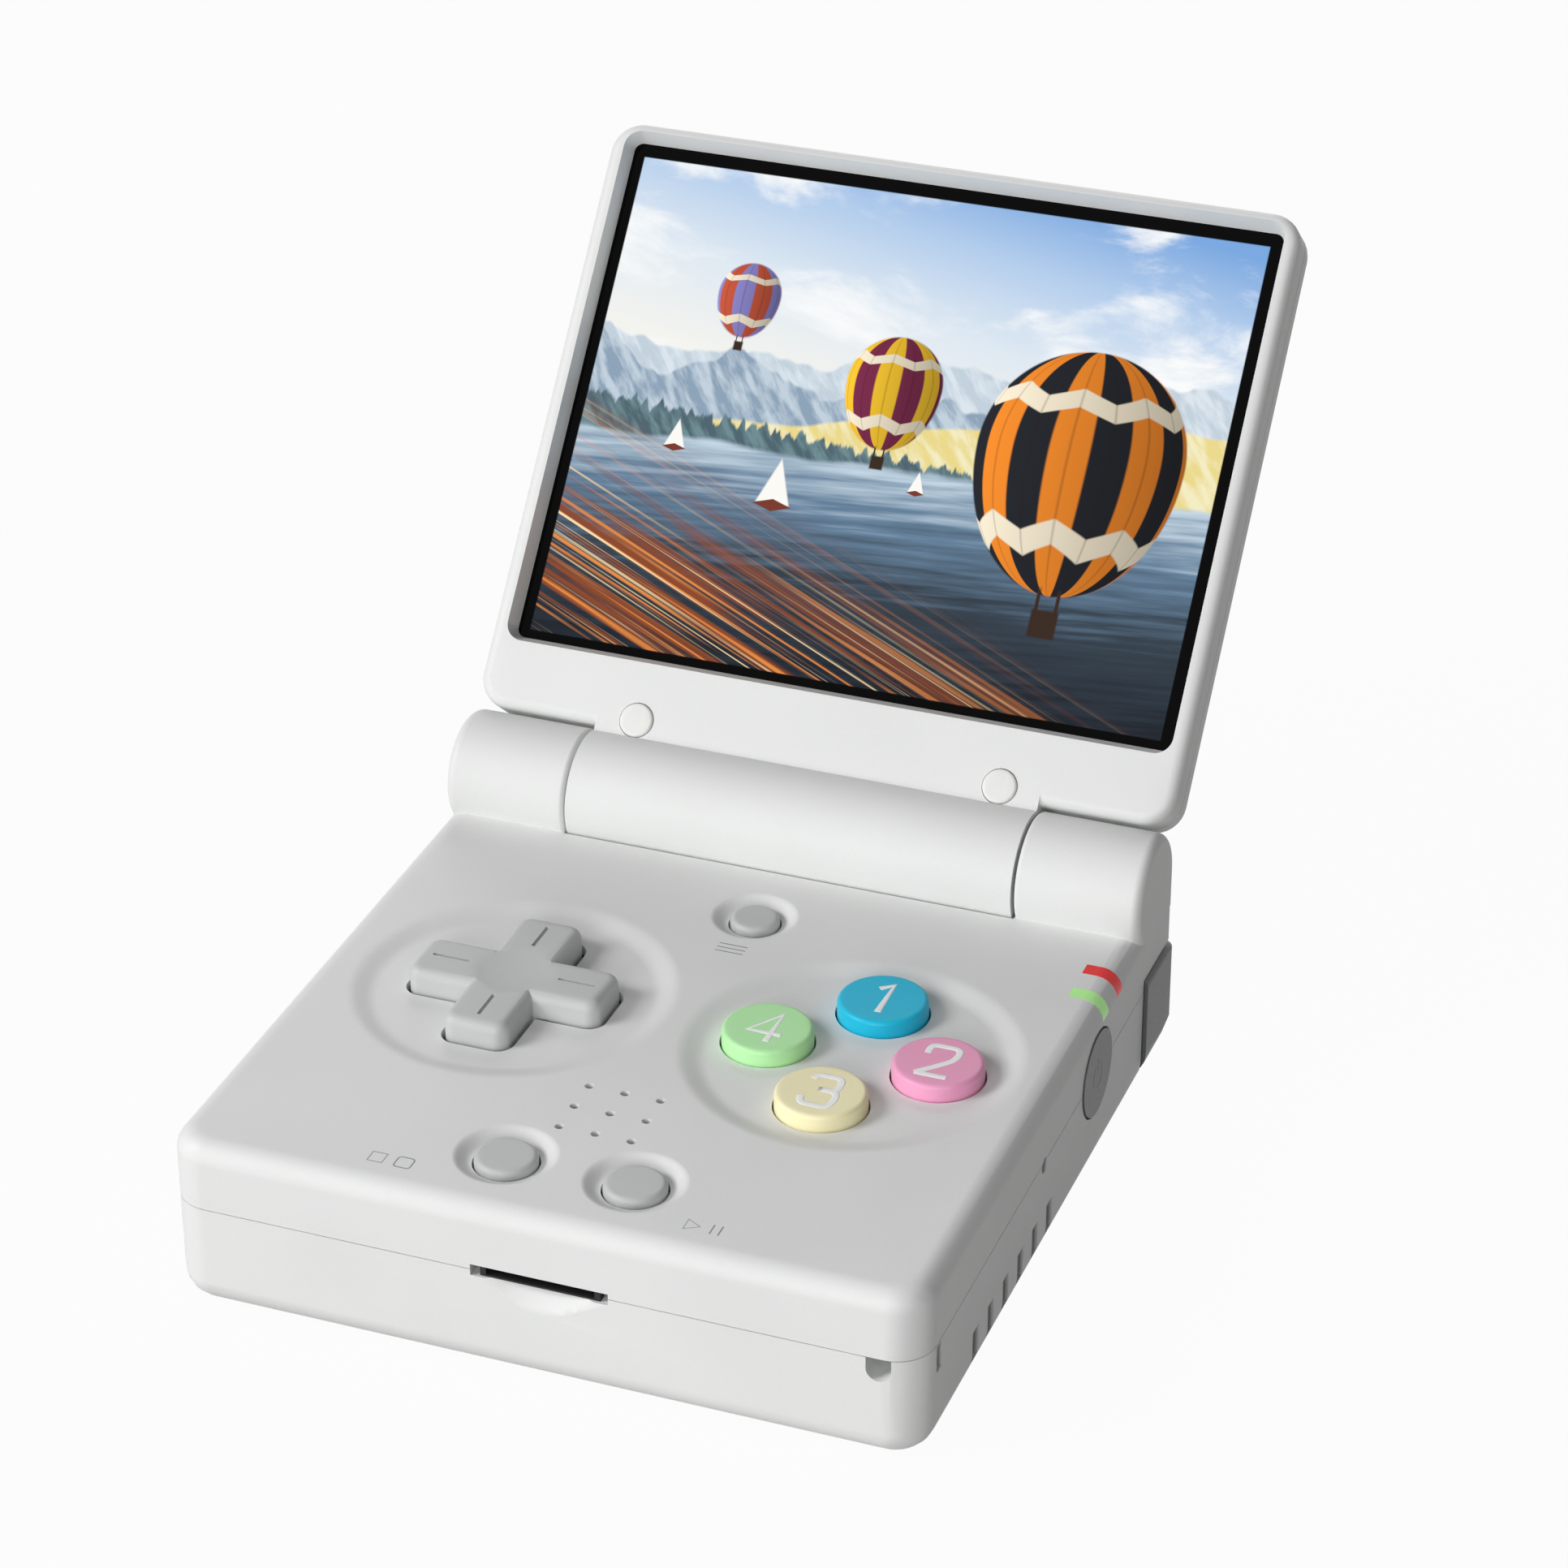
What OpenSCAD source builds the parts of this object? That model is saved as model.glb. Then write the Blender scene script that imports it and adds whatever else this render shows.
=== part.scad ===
// Clamshell handheld game console: a control base and a screen lid on one barrel hinge.
// Origin: centre of the base underside. +X right, +Y towards the hinge, +Z up. Millimetres.

/* [Base casing] */
// Width of the base across X
body_w = 78; // [76:0.5:84]
// Depth of the base from front face to back face
body_d = 79.6; // [78:0.2:84]
// Height of the base from underside to top face
body_t = 19; // [18:0.1:22]
// Gap of the joint between two shells, as seen from outside
seam_gap = 0.1; // [0.05:0.01:0.2]
// Depth of the gap between two shells
seam_deep = 0.5; // [0.3:0.05:0.7]
// Height of the joint between lower and upper base shells
part_z = 11.6; // [11:0.1:12.5]
// Plan radius of the two front corners
front_r = 4; // [3.2:0.1:6]
// Plan radius of the two back corners of the top and underside
back_r = 3.2; // [3.1:0.1:4.5]
// Plan radius of the two back corners halfway up
corner_r = 1.3; // [0.8:0.1:3]
// Fillet round the underside edge
under_r = 3; // [1.5:0.1:3.1]
// Fillet round the top edge
edge_r = 2.2; // [1:0.1:2.4]
// Thickness of the side walls and floor
wall = 1.6; // [1.2:0.1:2]
// Thickness of the top face
top_wall = 1.8; // [1.5:0.1:2.2]

/* [Hinge] */
// Radius of the hinge barrel and of the two ears beside it
barrel_r = 6.25; // [5.8:0.05:6.6]
// Height of the hinge axis above the top face
axis_up = 2.6; // [2.2:0.1:3.2]
// Half the length of the centre barrel
barrel_half = 25; // [20:0.5:28]
// Gap between barrel ends and ears
end_gap = 0.3; // [0.25:0.05:0.8]
// Radial gap between barrel and trough
trough_gap = 0.2; // [0.15:0.05:0.6]
// Rounding of the outer end of each ear
ear_end_r = 1.1; // [0.8:0.1:3]
// Rounding of the inner end of each ear
ear_in_r = 0.5; // [0.3:0.05:0.8]
// Radius of the hinge pins
pin_r = 1.95; // [1.5:0.05:2.4]
// Radial running clearance of the hinge pins in their bushings
pin_fit = 0.05; // [0.03:0.01:0.09]
// Length of each hinge pin
pin_len = 14.5; // [12:0.5:16]
// Depth to which each pin is seated in the barrel
pin_seat = 6.5; // [5:0.5:8]
// Wall of the hinge bushings
bush_wall = 1; // [0.8:0.1:1.5]
// Length of the hinge bushings
bush_len = 6; // [4:0.5:7]

/* [Lid] */
// How far the closed lid reaches past the front face of the base
lid_over = 0.2; // [0:0.05:0.5]
// How far the lid stands proud of the base on each side
lid_proud = 0.25; // [0:0.05:0.4]
// Thickness of the lid
lid_t = 7.6; // [7.2:0.1:9]
// Opening angle shown at rest, measured from closed
open_deg = 130.2; // [100:0.1:150]
// Gap between lid and base top face when closed
close_gap = 0.5; // [0.4:0.05:0.8]
// Plan radius of the lid corners
lid_r = 3.4; // [2.5:0.1:5]
// Fillet round the inner face of the lid
lid_in_r = 1.2; // [0.8:0.1:2]
// Fillet round the outer face of the lid
lid_out_r = 2.4; // [1:0.1:2.8]
// Gap between the ears and the lower edge of the lid
ear_gap = 0.35; // [0.3:0.05:0.8]
// Depth of the joint between the two lid shells, from the inner face
lid_part = 3.6; // [3.3:0.1:4]
// Wall of the lid shells
lid_wall = 1.4; // [1.2:0.1:1.8]

/* [Screen] */
// Distance from the sides of the lid to the lit area
screen_side = 3.5; // [3.4:0.1:8]
// Distance from the hinge axis to the near edge of the lit area
screen_chin = 15.9; // [15:0.1:22]
// Distance from the far edge of the lid to the lit area
screen_top = 3.25; // [3.2:0.05:4]
// Width of the black border beside the lit area
border_side = 1.35; // [0.8:0.05:1.4]
// Width of the black border beyond the far edge of the lit area
border_top = 1.5; // [0.8:0.05:1.5]
// Width of the black border at the near edge of the lit area
border_low = 1; // [0.6:0.05:1.4]
// Depth of the glass face below the inner face of the lid
glass_deep = 2.25; // [2.2:0.05:2.4]
// How far the recess wall slopes outwards at the sides
recess_side_run = 0.5; // [0.3:0.1:0.8]
// How far the recess wall slopes outwards at the near and far edges
recess_end_run = 0.8; // [0.3:0.1:0.9]
// Thickness of the glass
glass_t = 0.8; // [0.6:0.1:1]
// How far the glass is held behind the recess edge
glass_lap = 0.5; // [0.3:0.1:0.6]
// How far the display panel reaches past the lit area
panel_lap = 1.3; // [0.8:0.1:1.5]
// Thickness of the display panel
panel_t = 2; // [1.5:0.1:2.2]

/* [Controls] */
// Distance of the centre of the face buttons from the right side
dish_side = 20.6; // [20:0.1:21.5]
// Distance of the centre of the direction pad from the left side
pad_side = 21; // [20:0.1:21.5]
// Distance of both big dishes from the front face
dish_y = 37.6; // [36:0.2:39]
// Depth of the dishes round the controls
dish_deep = 0.7; // [0.4:0.05:0.8]
// Width of the soft rim of the two big dishes
rim_soft = 3.2; // [1.5:0.1:4]
// Width of the soft rim of the three small dishes
small_soft = 1.8; // [1:0.1:2]
// Radius of the dish round the four face buttons
face_dish_r = 17.7; // [17:0.1:18]
// Distance of each face button from the centre of its dish
face_off = 9; // [8.6:0.1:10]
// Radius of each face button
face_r = 4.65; // [4:0.05:5]
// Height of the face buttons above the dish floor
face_up = 1.8; // [1.2:0.1:2]
// Radius of the dish round the direction pad
pad_dish_r = 17.1; // [16:0.1:17.8]
// Length across the direction pad
pad_len = 21; // [19:0.5:22]
// Width of each arm of the direction pad
pad_arm = 7; // [6:0.1:7.5]
// Corner radius of a pad arm, seen from above
pad_r = 1.45; // [1:0.05:2]
// Rounding of the pad's upper edges
pad_edge = 1.1; // [0.6:0.05:1.3]
// Radius of the sphere that hollows the pad's middle
pad_bowl_r = 24; // [12:1:30]
// Depth of that hollow
pad_bowl_deep = 0.42; // [0.2:0.02:0.6]
// Height of the direction pad above the dish floor
pad_up = 2.7; // [2:0.1:2.8]
// Length of the groove on each arm of the direction pad
groove_len = 4; // [2:0.1:5]
// Width of the groove on each arm
groove_w = 0.4; // [0.3:0.05:0.8]
// Depth of the groove on each arm
groove_deep = 0.3; // [0.2:0.05:0.5]
// Distance of the middle of each groove from the end of its arm
groove_in = 3.6; // [3:0.1:4.5]
// Tilt of the direction pad each way, in degrees
pad_tilt = 2.5; // [2:0.1:2.6]
// Gap round the direction pad in its cross-shaped hole
pad_gap = 0.45; // [0.45:0.05:0.8]
// Radius of the ball under the direction pad
ball_r = 1.3; // [1:0.05:1.6]
// Gap round each button in its hole
key_gap = 0.2; // [0.15:0.01:0.3]
// How far a button is pressed
key_travel = 0.9; // [0.6:0.05:1]
// Thickness of the flange under each button
flange_t = 1; // [0.8:0.05:1.2]
// Overhang of the flange under each button
flange_lip = 0.85; // [0.6:0.05:1]
// Gap above each flange
flange_gap = 0.3; // [0.2:0.05:0.4]
// Radius of the select and start buttons
option_r = 3.15; // [2.6:0.05:3.4]
// Radius of the dishes round select and start
option_dish_r = 5.3; // [4.8:0.1:6]
// Distance of select and start from the centre line
option_x = 6.7; // [6.4:0.1:9]
// Distance of select and start from the front face
option_y = 9.2; // [8.5:0.1:10.5]
// Radius of the menu button
menu_r = 2.6; // [2:0.1:3]
// Radius of the dish round the menu button
menu_dish_r = 4.7; // [4:0.1:5.2]
// Distance of the menu button from the back face
menu_back = 21; // [20:0.1:22]
// Depth of the dishes round the three small buttons
small_dish_deep = 0.95; // [0.6:0.05:1]
// Rounding of the upper edge of the face buttons
key_edge = 0.5; // [0.3:0.05:0.8]
// Rounding of the upper edge of the three small buttons
small_edge = 0.6; // [0.3:0.05:0.6]
// Height of the three small buttons above their dish floor
small_up = 0.95; // [0.6:0.05:1]

/* [Speaker] */
// Radius of each speaker hole
sound_r = 0.48; // [0.3:0.02:0.7]
// Pitch of the speaker holes
sound_pitch = 3.78; // [2.5:0.02:4.2]
// Rows and columns of speaker holes
sound_n = 3; // [2:1:4]
// Distance of the speaker from the front face
sound_y = 19.2; // [18.6:0.1:20]
// Radius of the speaker driver
driver_r = 7; // [6:0.1:7.2]
// Height of the speaker driver
driver_h = 3; // [2:0.1:3.2]

/* [Front face] */
// Width of the card slot
slot_w = 14.2; // [12:0.1:15]
// Height of the card slot
slot_h = 1.25; // [1:0.05:1.5]
// Distance of the card slot to the right of centre
slot_x = 0.4; // [0:0.1:1]
// Length of the card socket behind the front wall
socket_len = 15.3; // [14:0.1:17]
// Wall of the card socket beside the slot
socket_side = 0.8; // [0.6:0.1:1.2]
// Width of the black mouthpiece in the card slot
mouth_w = 12.4; // [11.9:0.1:13]
// Distance of the mouthpiece behind the front face
mouth_in = 0.3; // [0.2:0.05:0.6]
// Width of the card opening
card_w = 11.2; // [11.1:0.1:11.5]
// Height of the card opening
card_h = 0.85; // [0.8:0.05:0.9]
// Half the width of the finger scoop under the slot
scoop_half = 6; // [4.5:0.1:6.4]
// Height of the finger scoop
scoop_h = 3.6; // [2.5:0.1:4]
// Depth of the finger scoop
scoop_deep = 1.5; // [0.8:0.1:1.8]
// Width of the lanyard slot
lanyard_w = 2.5; // [1.8:0.1:2.6]
// Height of the lanyard slot in the front face
lanyard_h = 2.45; // [2.3:0.05:2.8]
// Width of the lanyard slot in the right side
lanyard_side = 1.5; // [1.2:0.1:2]
// Distance of the lanyard slot from the right side
lanyard_x = 4.4; // [4.2:0.1:5]
// Distance of the lanyard slot from the front face
lanyard_y = 4.7; // [4.4:0.1:5.4]

/* [Side features] */
// Radius of the power button
power_r = 4.65; // [4:0.05:4.7]
// Distance of the power button and volume rocker from the back face
power_back = 26.1; // [25.6:0.1:28]
// How far the power button is pressed
power_travel = 0.6; // [0.4:0.05:0.7]
// Length of the volume rocker
rocker_len = 12; // [10:0.5:13]
// Height of the volume rocker
rocker_h = 3.4; // [3:0.1:3.6]
// Radius of the reset hole
reset_r = 0.85; // [0.5:0.05:1]
// Distance of the reset hole from the front face
reset_y = 36.4; // [35:0.2:38]
// Number of vent slots
vent_n = 6; // [4:1:6]
// Pitch of the vent slots
vent_pitch = 4.55; // [3.5:0.05:4.6]
// Width of each vent slot
vent_w = 1.9; // [1.2:0.1:2.2]
// Height of the top of the vent slots
vent_top = 5.7; // [4.5:0.1:6]
// Distance of the first vent slot from the front face
vent_y = 15.6; // [14.6:0.2:16]
// Width of each light window
lamp_w = 1.8; // [1.2:0.1:2.2]
// Distance of the green light window from the back face
lamp_back = 23.6; // [23.2:0.1:24.2]
// Pitch of the two light windows
lamp_pitch = 4.7; // [4:0.1:5]
// How far the light windows reach in over the top face
lamp_run = 3.8; // [3:0.1:4.2]

/* [Triggers] */
// Length of each trigger along the back
trig_len = 17.5; // [15:0.5:18]
// Length of each trigger along the side
trig_side = 9.6; // [9:0.2:10.5]
// Height of the top of the triggers
trig_top = 12.8; // [12.3:0.1:13]
// Height of the underside of the triggers
trig_low = 1.1; // [1:0.1:1.4]
// How far the triggers stand proud of the casing
trig_proud = 0.4; // [0.2:0.1:0.6]
// Thickness of the triggers behind their back face
trig_t = 4; // [3.4:0.1:4.2]
// Thickness of the triggers behind their side face
trig_side_t = 4.2; // [3.8:0.1:4.6]
// Radius of the trigger pins
trig_pin_r = 0.75; // [0.6:0.05:0.85]
// Gap round the triggers at rest
trig_gap = 0.3; // [0.25:0.05:0.4]
// Travel of the inner end of a trigger
trig_travel = 1.2; // [0.8:0.1:1.4]

/* [Inside] */
// Height of the underside of the main board
board_z = 9.2; // [9:0.1:9.3]
// Thickness of the main board
board_t = 1.2; // [1:0.1:1.3]
// Thickness of the battery
battery_t = 6; // [4:0.2:6.6]
// Width of the battery
battery_w = 48; // [40:1:50]
// Depth of the battery
battery_d = 40; // [34:1:42]
// Radius of the casing screws
screw_r = 1; // [0.8:0.05:1.2]
// Radius of the screw heads
screw_head_r = 2; // [1.7:0.05:2.2]
// Radius of the headphone jack bore
jack_r = 1.75; // [1.75:0.01:1.8]
// Wall round the bore of the headphone jack
jack_ring = 1.25; // [1:0.05:1.3]
// Width of the headphone jack body
jack_w = 7; // [6:0.5:8]
// Length of the headphone jack
jack_len = 12; // [11.5:0.5:14]
// Distance of the headphone jack left of centre
jack_x = 10; // [9:0.5:14]
// Width of the charging port opening
usb_w = 9; // [8.9:0.1:9.2]
// Height of the charging port opening
usb_h = 3.2; // [3.1:0.1:3.4]
// Distance of the charging port right of centre
usb_x = 8; // [7:0.5:12]
// Height of the two rear sockets
port_z = 6.4; // [5.6:0.1:6.6]

/* [Hidden] */
$fn = 64;
round_fn = 32;
eps = 0.01;
skin = 0.9;
pin_low = 0.45;
shade_light = "#E9EAE8";
shade_dark = "#7C7D7C";
half_w = body_w / 2;
front_y = -body_d / 2;
back_y = body_d / 2;
floor_top = wall;
ceiling = body_t - top_wall;
dish_floor = body_t - dish_deep;
axis_y = back_y - barrel_r;
axis_z = body_t + axis_up;
trough_r = barrel_r + trough_gap;
ear_in = barrel_half + end_gap;
lid_drop = axis_up - close_gap;
lid_low = barrel_r + ear_gap;
board_top = board_z + board_t;
face_x = half_w - dish_side;
face_y = front_y + dish_y;
pad_x = pad_side - half_w;
lid_w = body_w + 2 * lid_proud;
lid_len = body_d - barrel_r + lid_over;
screen_w = lid_w - 2 * screen_side;
screen_h = lid_len - screen_top - screen_chin;
menu_row = back_y - menu_back;
small_floor = body_t - small_dish_deep;
pad_y = front_y + dish_y - 0.3;
flange_top = ceiling - flange_gap;
flange_low = flange_top - flange_t;
dome_top = flange_low - key_travel - flange_gap;
pad_flange_r = pad_len / 2 + 1.3;
pad_rise = pad_flange_r * sin(1.42 * pad_tilt);
pad_flange_top = ceiling - pad_rise - flange_gap;
pad_flange_low = pad_flange_top - flange_t;
ball_z = pad_flange_low - 0.2;
pad_mat_top = pad_flange_low - pad_rise - flange_gap;
slot_z = part_z;
socket_h = 2.5;
front_wall = wall + 1.5;
option_seat = board_top + socket_h;
lanyard_end = front_y + lanyard_y + lanyard_side / 2;
scoop_rc = (scoop_half * scoop_half + scoop_h * scoop_h) / (2 * scoop_h);
scoop_cz = part_z - scoop_h + scoop_rc;
scoop_full = scoop_deep + 0.5;
scoop_rs = (scoop_rc * scoop_rc + scoop_full * scoop_full) / (2 * scoop_full);
trig_in = half_w + trig_proud - trig_len;
trig_front = back_y - trig_side;
trig_back = back_y + trig_proud;
trig_wall_y = trig_back - trig_t;
trig_wall_x = half_w + trig_proud - trig_side_t;
trig_px = trig_wall_x + trig_pin_r + 0.55;
trig_py = trig_front + trig_pin_r + 0.85;
trig_turn = trig_travel / (trig_px - trig_in);
pocket_x = trig_in - trig_turn * (trig_back - trig_py) - trig_gap;
pocket_y = trig_wall_y - trig_travel - trig_gap;
pocket_sx = trig_wall_x - trig_turn * (trig_wall_y - trig_py) - trig_gap;
pocket_sy = trig_front - trig_turn * (trig_px - trig_wall_x) - trig_gap;
pocket_low = trig_low - trig_gap;
pocket_top = trig_top + trig_gap;
pocket_wall = 1.2;
power_z = part_z;
power_row = back_y - power_back;
rocker_row = back_y - power_back;
rocker_x = -(half_w - wall - 2);
screw_x = half_w - 7.8;
screw_front = front_y + 13.6;
screw_back = back_y - 15.8;
boss_r = screw_head_r + 0.7;
head_deep = 2.2;
screw_top = body_t - top_wall - 1.2;
board_half = pocket_sx - pocket_wall - 0.4;
board_back = pocket_y - pocket_wall - 0.3;
board_front = front_y + 8.4;
screen_mid = lid_len - screen_top - screen_h / 2;
view_w = screen_w + 2 * border_side;
view_h = screen_h + border_top + border_low;
view_mid = screen_mid + (border_top - border_low) / 2;
glass_w = view_w + 2 * glass_lap;
glass_h = view_h + 2 * glass_lap;
panel_w = screen_w + 2 * panel_lap;
panel_h = screen_h + 2 * panel_lap;
pad_pos_v = lid_low + 1.15;
lid_pad_r = 1.87;
lid_pad_up = 0.3;
lid_pad_round = 0.3;
lid_pad_x = barrel_half - 4.5;

// Solid post with a filleted foot and head, used at the corners of the casings
module post(r, z0, z1, low_f, high_f) {
    steps = 5;
    low_arc = low_f > 0 ? [for (i = [0:steps])
        [r - low_f + low_f * sin(90 * i / steps), z0 + low_f - low_f * cos(90 * i / steps)]]
        : [[r, z0]];
    high_arc = high_f > 0 ? [for (i = [0:steps])
        [r - high_f + high_f * cos(90 * i / steps), z1 - high_f + high_f * sin(90 * i / steps)]]
        : [[r, z1]];
    rotate_extrude($fn = round_fn) polygon(concat([[0, z0]], low_arc, high_arc, [[0, z1]]));
}

// Rounded casing block between y0 and y1, whose back corners tighten to r_mid between its fillets
module casing_block(w, y0, y1, r_front, r_back, r_mid, z0, z1, low_f, high_f) {
    hull() {
        for (s = [-1, 1]) {
            translate([s * (w / 2 - r_front), y0 + r_front, 0]) post(r_front, z0, z1, low_f, high_f);
            translate([s * (w / 2 - r_back), y1 - r_back, 0]) post(r_back, z0, z1, low_f, high_f);
            translate([s * (w / 2 - r_mid), y1 - r_mid, z0 + low_f])
                cylinder(r = r_mid, h = z1 - z0 - low_f - high_f, $fn = round_fn);
        }
    }
}

// Flat rounded rectangle with true arcs
module round_rect(w, d, r) {
    square([w - 2 * r, d], center = true);
    square([w, d - 2 * r], center = true);
    for (sx = [-1, 1], sy = [-1, 1]) {
        translate([sx * (w / 2 - r), sy * (d / 2 - r)]) circle(r);
    }
}

// Box given by two opposite corners
module box(a, b) {
    translate(a) cube(b - a);
}

// Cylinder along X from x0 to x1
module rod_x(r, x0, x1) {
    translate([x0, 0, 0]) rotate([0, 90, 0]) cylinder(r = r, h = x1 - x0);
}

// Ring cut round a shell of width w from y0 to y1, that leaves a fine gap above height z
module seam_cut(w, y0, y1, z) {
    translate([0, (y0 + y1) / 2, z - eps]) linear_extrude(seam_gap + eps) difference() {
        square([w + 2, y1 - y0 + 2], center = true);
        round_rect(w - 2 * seam_deep, y1 - y0 - 2 * seam_deep, back_r);
    }
}

// Moves closed-lid coordinates about the hinge axis to the open rest pose
module lid_place() {
    translate([0, axis_y, axis_z]) rotate([-open_deg, 0, 0]) children();
}

// Shallow dish with a soft rim, cut from the top face
module dish(x, y, r, deep, soft) {
    steps = 8;
    rim = [for (i = [0:steps]) [r - soft + soft * i / steps,
        body_t - deep * (1 + cos(180 * i / steps)) / 2]];
    translate([x, y, 0]) rotate_extrude()
        polygon(concat([[0, body_t - deep]], rim, [[r, body_t + 1], [0, body_t + 1]]));
}

// Space for one trigger and its travel
module trigger_pocket(s) {
    mirror([s < 0 ? 1 : 0, 0, 0]) {
        box([pocket_x, pocket_y, pocket_low], [half_w + 2, back_y + 2, pocket_top]);
        box([pocket_sx, pocket_sy, pocket_low], [half_w + 2, back_y + 2, pocket_top]);
    }
}

// Outline that inner ribs and blocks stay within, so that none breaks the outer face
module inner_bounds(z0, z1) {
    translate([0, 0, z0]) linear_extrude(z1 - z0)
        round_rect(body_w - 2 * skin, body_d - 2 * skin, back_r);
}

// Walls that close the casing round one trigger pocket
module pocket_walls(s, z0, z1) {
    intersection() {
        inner_bounds(z0, z1);
        mirror([s < 0 ? 1 : 0, 0, 0]) {
            box([pocket_x - pocket_wall, pocket_y - pocket_wall, z0], [half_w, back_y, z1]);
            box([pocket_sx - pocket_wall, pocket_sy - pocket_wall, z0], [half_w, back_y, z1]);
        }
    }
}

// Solid corner that the lanyard slot passes through
module lanyard_block(z0, z1) {
    intersection() {
        inner_bounds(z0, z1);
        box([half_w - lanyard_x - lanyard_w / 2 - 2.2, front_y, z0],
            [half_w, front_y + lanyard_y + 3, z1]);
    }
}

// Hole for one round key through the top face
module key_hole(x, y, r) {
    translate([x, y, ceiling - 1]) cylinder(r = r + key_gap, h = top_wall + 2);
}

// Round key with a flange and a softly domed head
module round_key(x, y, r, low, up, head) {
    steps = 5;
    high = low + up;
    arc = [for (i = [0:steps])
        [r - head + head * cos(90 * i / steps), high - head + head * sin(90 * i / steps)]];
    translate([x, y, 0]) rotate_extrude()
        polygon(concat([[0, flange_low], [r + flange_lip, flange_low], [r + flange_lip, flange_top],
            [r, flange_top]], arc, [[0, high]]));
}

// One end post of the casing screws
module at_screws() {
    for (sx = [-1, 1]) {
        translate([sx * screw_x, screw_front, 0]) children();
        translate([sx * screw_x, screw_back, 0]) children();
    }
}

// Ear that carries one end of the hinge, along +X
module ear() {
    len = half_w - ear_in;
    f = ear_end_r;
    g = ear_in_r;
    translate([ear_in, axis_y, axis_z]) rotate([0, 90, 0]) rotate_extrude() union() {
        translate([0, g]) square([barrel_r, len - f - g]);
        square([barrel_r - g, len - f]);
        square([barrel_r - f, len]);
        translate([barrel_r - f, len - f]) circle(f);
        translate([barrel_r - g, g]) circle(g);
    }
    difference() {
        translate([0, 0, ceiling]) linear_extrude(axis_z - ceiling) intersection() {
            translate([ear_in, axis_y]) square([half_w - ear_in, barrel_r]);
            union() {
                translate([ear_in, axis_y]) square([half_w - ear_in - f, barrel_r]);
                translate([ear_in, axis_y]) square([half_w - ear_in, barrel_r - f]);
                translate([half_w - f, back_y - f]) circle(f);
            }
        }
        box([half_w - edge_r, axis_y - 1, body_t - edge_r], [half_w + 1, axis_y + eps, axis_z + 1]);
    }
}

module base_upper_shell() {
    color(shade_light) difference() {
        union() {
            difference() {
                casing_block(body_w, front_y, back_y, front_r, back_r, corner_r, part_z, body_t, 0, edge_r);
                translate([0, 0, part_z - 1]) linear_extrude(ceiling - part_z + 1)
                    round_rect(body_w - 2 * wall, body_d - 2 * wall, 2);
            }
            intersection() {
                translate([0, axis_y, axis_z]) rod_x(trough_r + 1.3, -ear_in - 1.2, ear_in + 1.2);
                box([-half_w + 1, front_y + 1, part_z + 0.4], [half_w - 1, back_y - 0.5, body_t - 0.3]);
            }
            ear();
            mirror([1, 0, 0]) ear();
            for (s = [-1, 1]) {
                pocket_walls(s, part_z, pocket_top + pocket_wall);
            }
            lanyard_block(part_z, part_z + 2);
            at_screws() translate([0, 0, board_top]) cylinder(r = boss_r, h = ceiling - board_top + 0.5);
        }
        seam_cut(body_w, front_y, back_y, part_z);
        translate([0, axis_y, axis_z]) rod_x(trough_r, -ear_in, ear_in);
        box([-ear_in, axis_y, body_t - 1.8], [ear_in, back_y + 1, axis_z + barrel_r]);
        for (s = [-1, 1]) {
            trigger_pocket(s);
            translate([s * trig_px, trig_py, part_z]) cylinder(r = trig_pin_r, h = pocket_top - part_z + 1);
            translate([0, axis_y, axis_z]) mirror([s < 0 ? 1 : 0, 0, 0]) {
                rod_x(pin_r + pin_fit + bush_wall, ear_in - 1, ear_in + bush_len);
                rod_x(pin_r + 0.15, ear_in, barrel_half - pin_seat + pin_len + 0.4);
            }
        }
        dish(face_x, face_y, face_dish_r, dish_deep, rim_soft);
        dish(pad_x, pad_y, pad_dish_r, dish_deep, rim_soft);
        dish(0, menu_row, menu_dish_r, small_dish_deep, small_soft);
        for (s = [-1, 1]) {
            dish(s * option_x, front_y + option_y, option_dish_r, small_dish_deep, small_soft);
            key_hole(s * option_x, front_y + option_y, option_r);
        }
        key_hole(0, menu_row, menu_r);
        for (a = [0:90:270]) {
            key_hole(face_x + face_off * cos(a), face_y + face_off * sin(a), face_r);
        }
        for (a = [0, 90]) {
            translate([pad_x, pad_y, body_t - top_wall - 1]) rotate([0, 0, a]) pad_hole();
        }
        for (i = [0:sound_n - 1], j = [0:sound_n - 1]) {
            translate([(i - (sound_n - 1) / 2) * sound_pitch,
                front_y + sound_y + (j - (sound_n - 1) / 2) * sound_pitch, ceiling - 1])
                cylinder(r = sound_r, h = top_wall + 2);
        }
        at_screws() translate([0, 0, part_z - 3]) cylinder(r = screw_r, h = screw_top - part_z + 3);
        box([slot_x - slot_w / 2, front_y - 1, slot_z - slot_h / 2],
            [slot_x + slot_w / 2, front_y + wall + 1, slot_z + slot_h / 2]);
        translate([0, power_row, power_z]) rod_x(power_r + key_gap, half_w - wall - 1, half_w + 1);
        box([-half_w - 1, rocker_row - rocker_len / 2 - 0.3, power_z - rocker_h / 2 - 0.3],
            [-half_w + wall + 1, rocker_row + rocker_len / 2 + 0.3, power_z + rocker_h / 2 + 0.3]);
        translate([0, front_y + reset_y, part_z - 0.4]) rod_x(reset_r, half_w - wall - 1, half_w + 1);
        lamp_solid(0);
        lamp_solid(1);
    }
}

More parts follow.
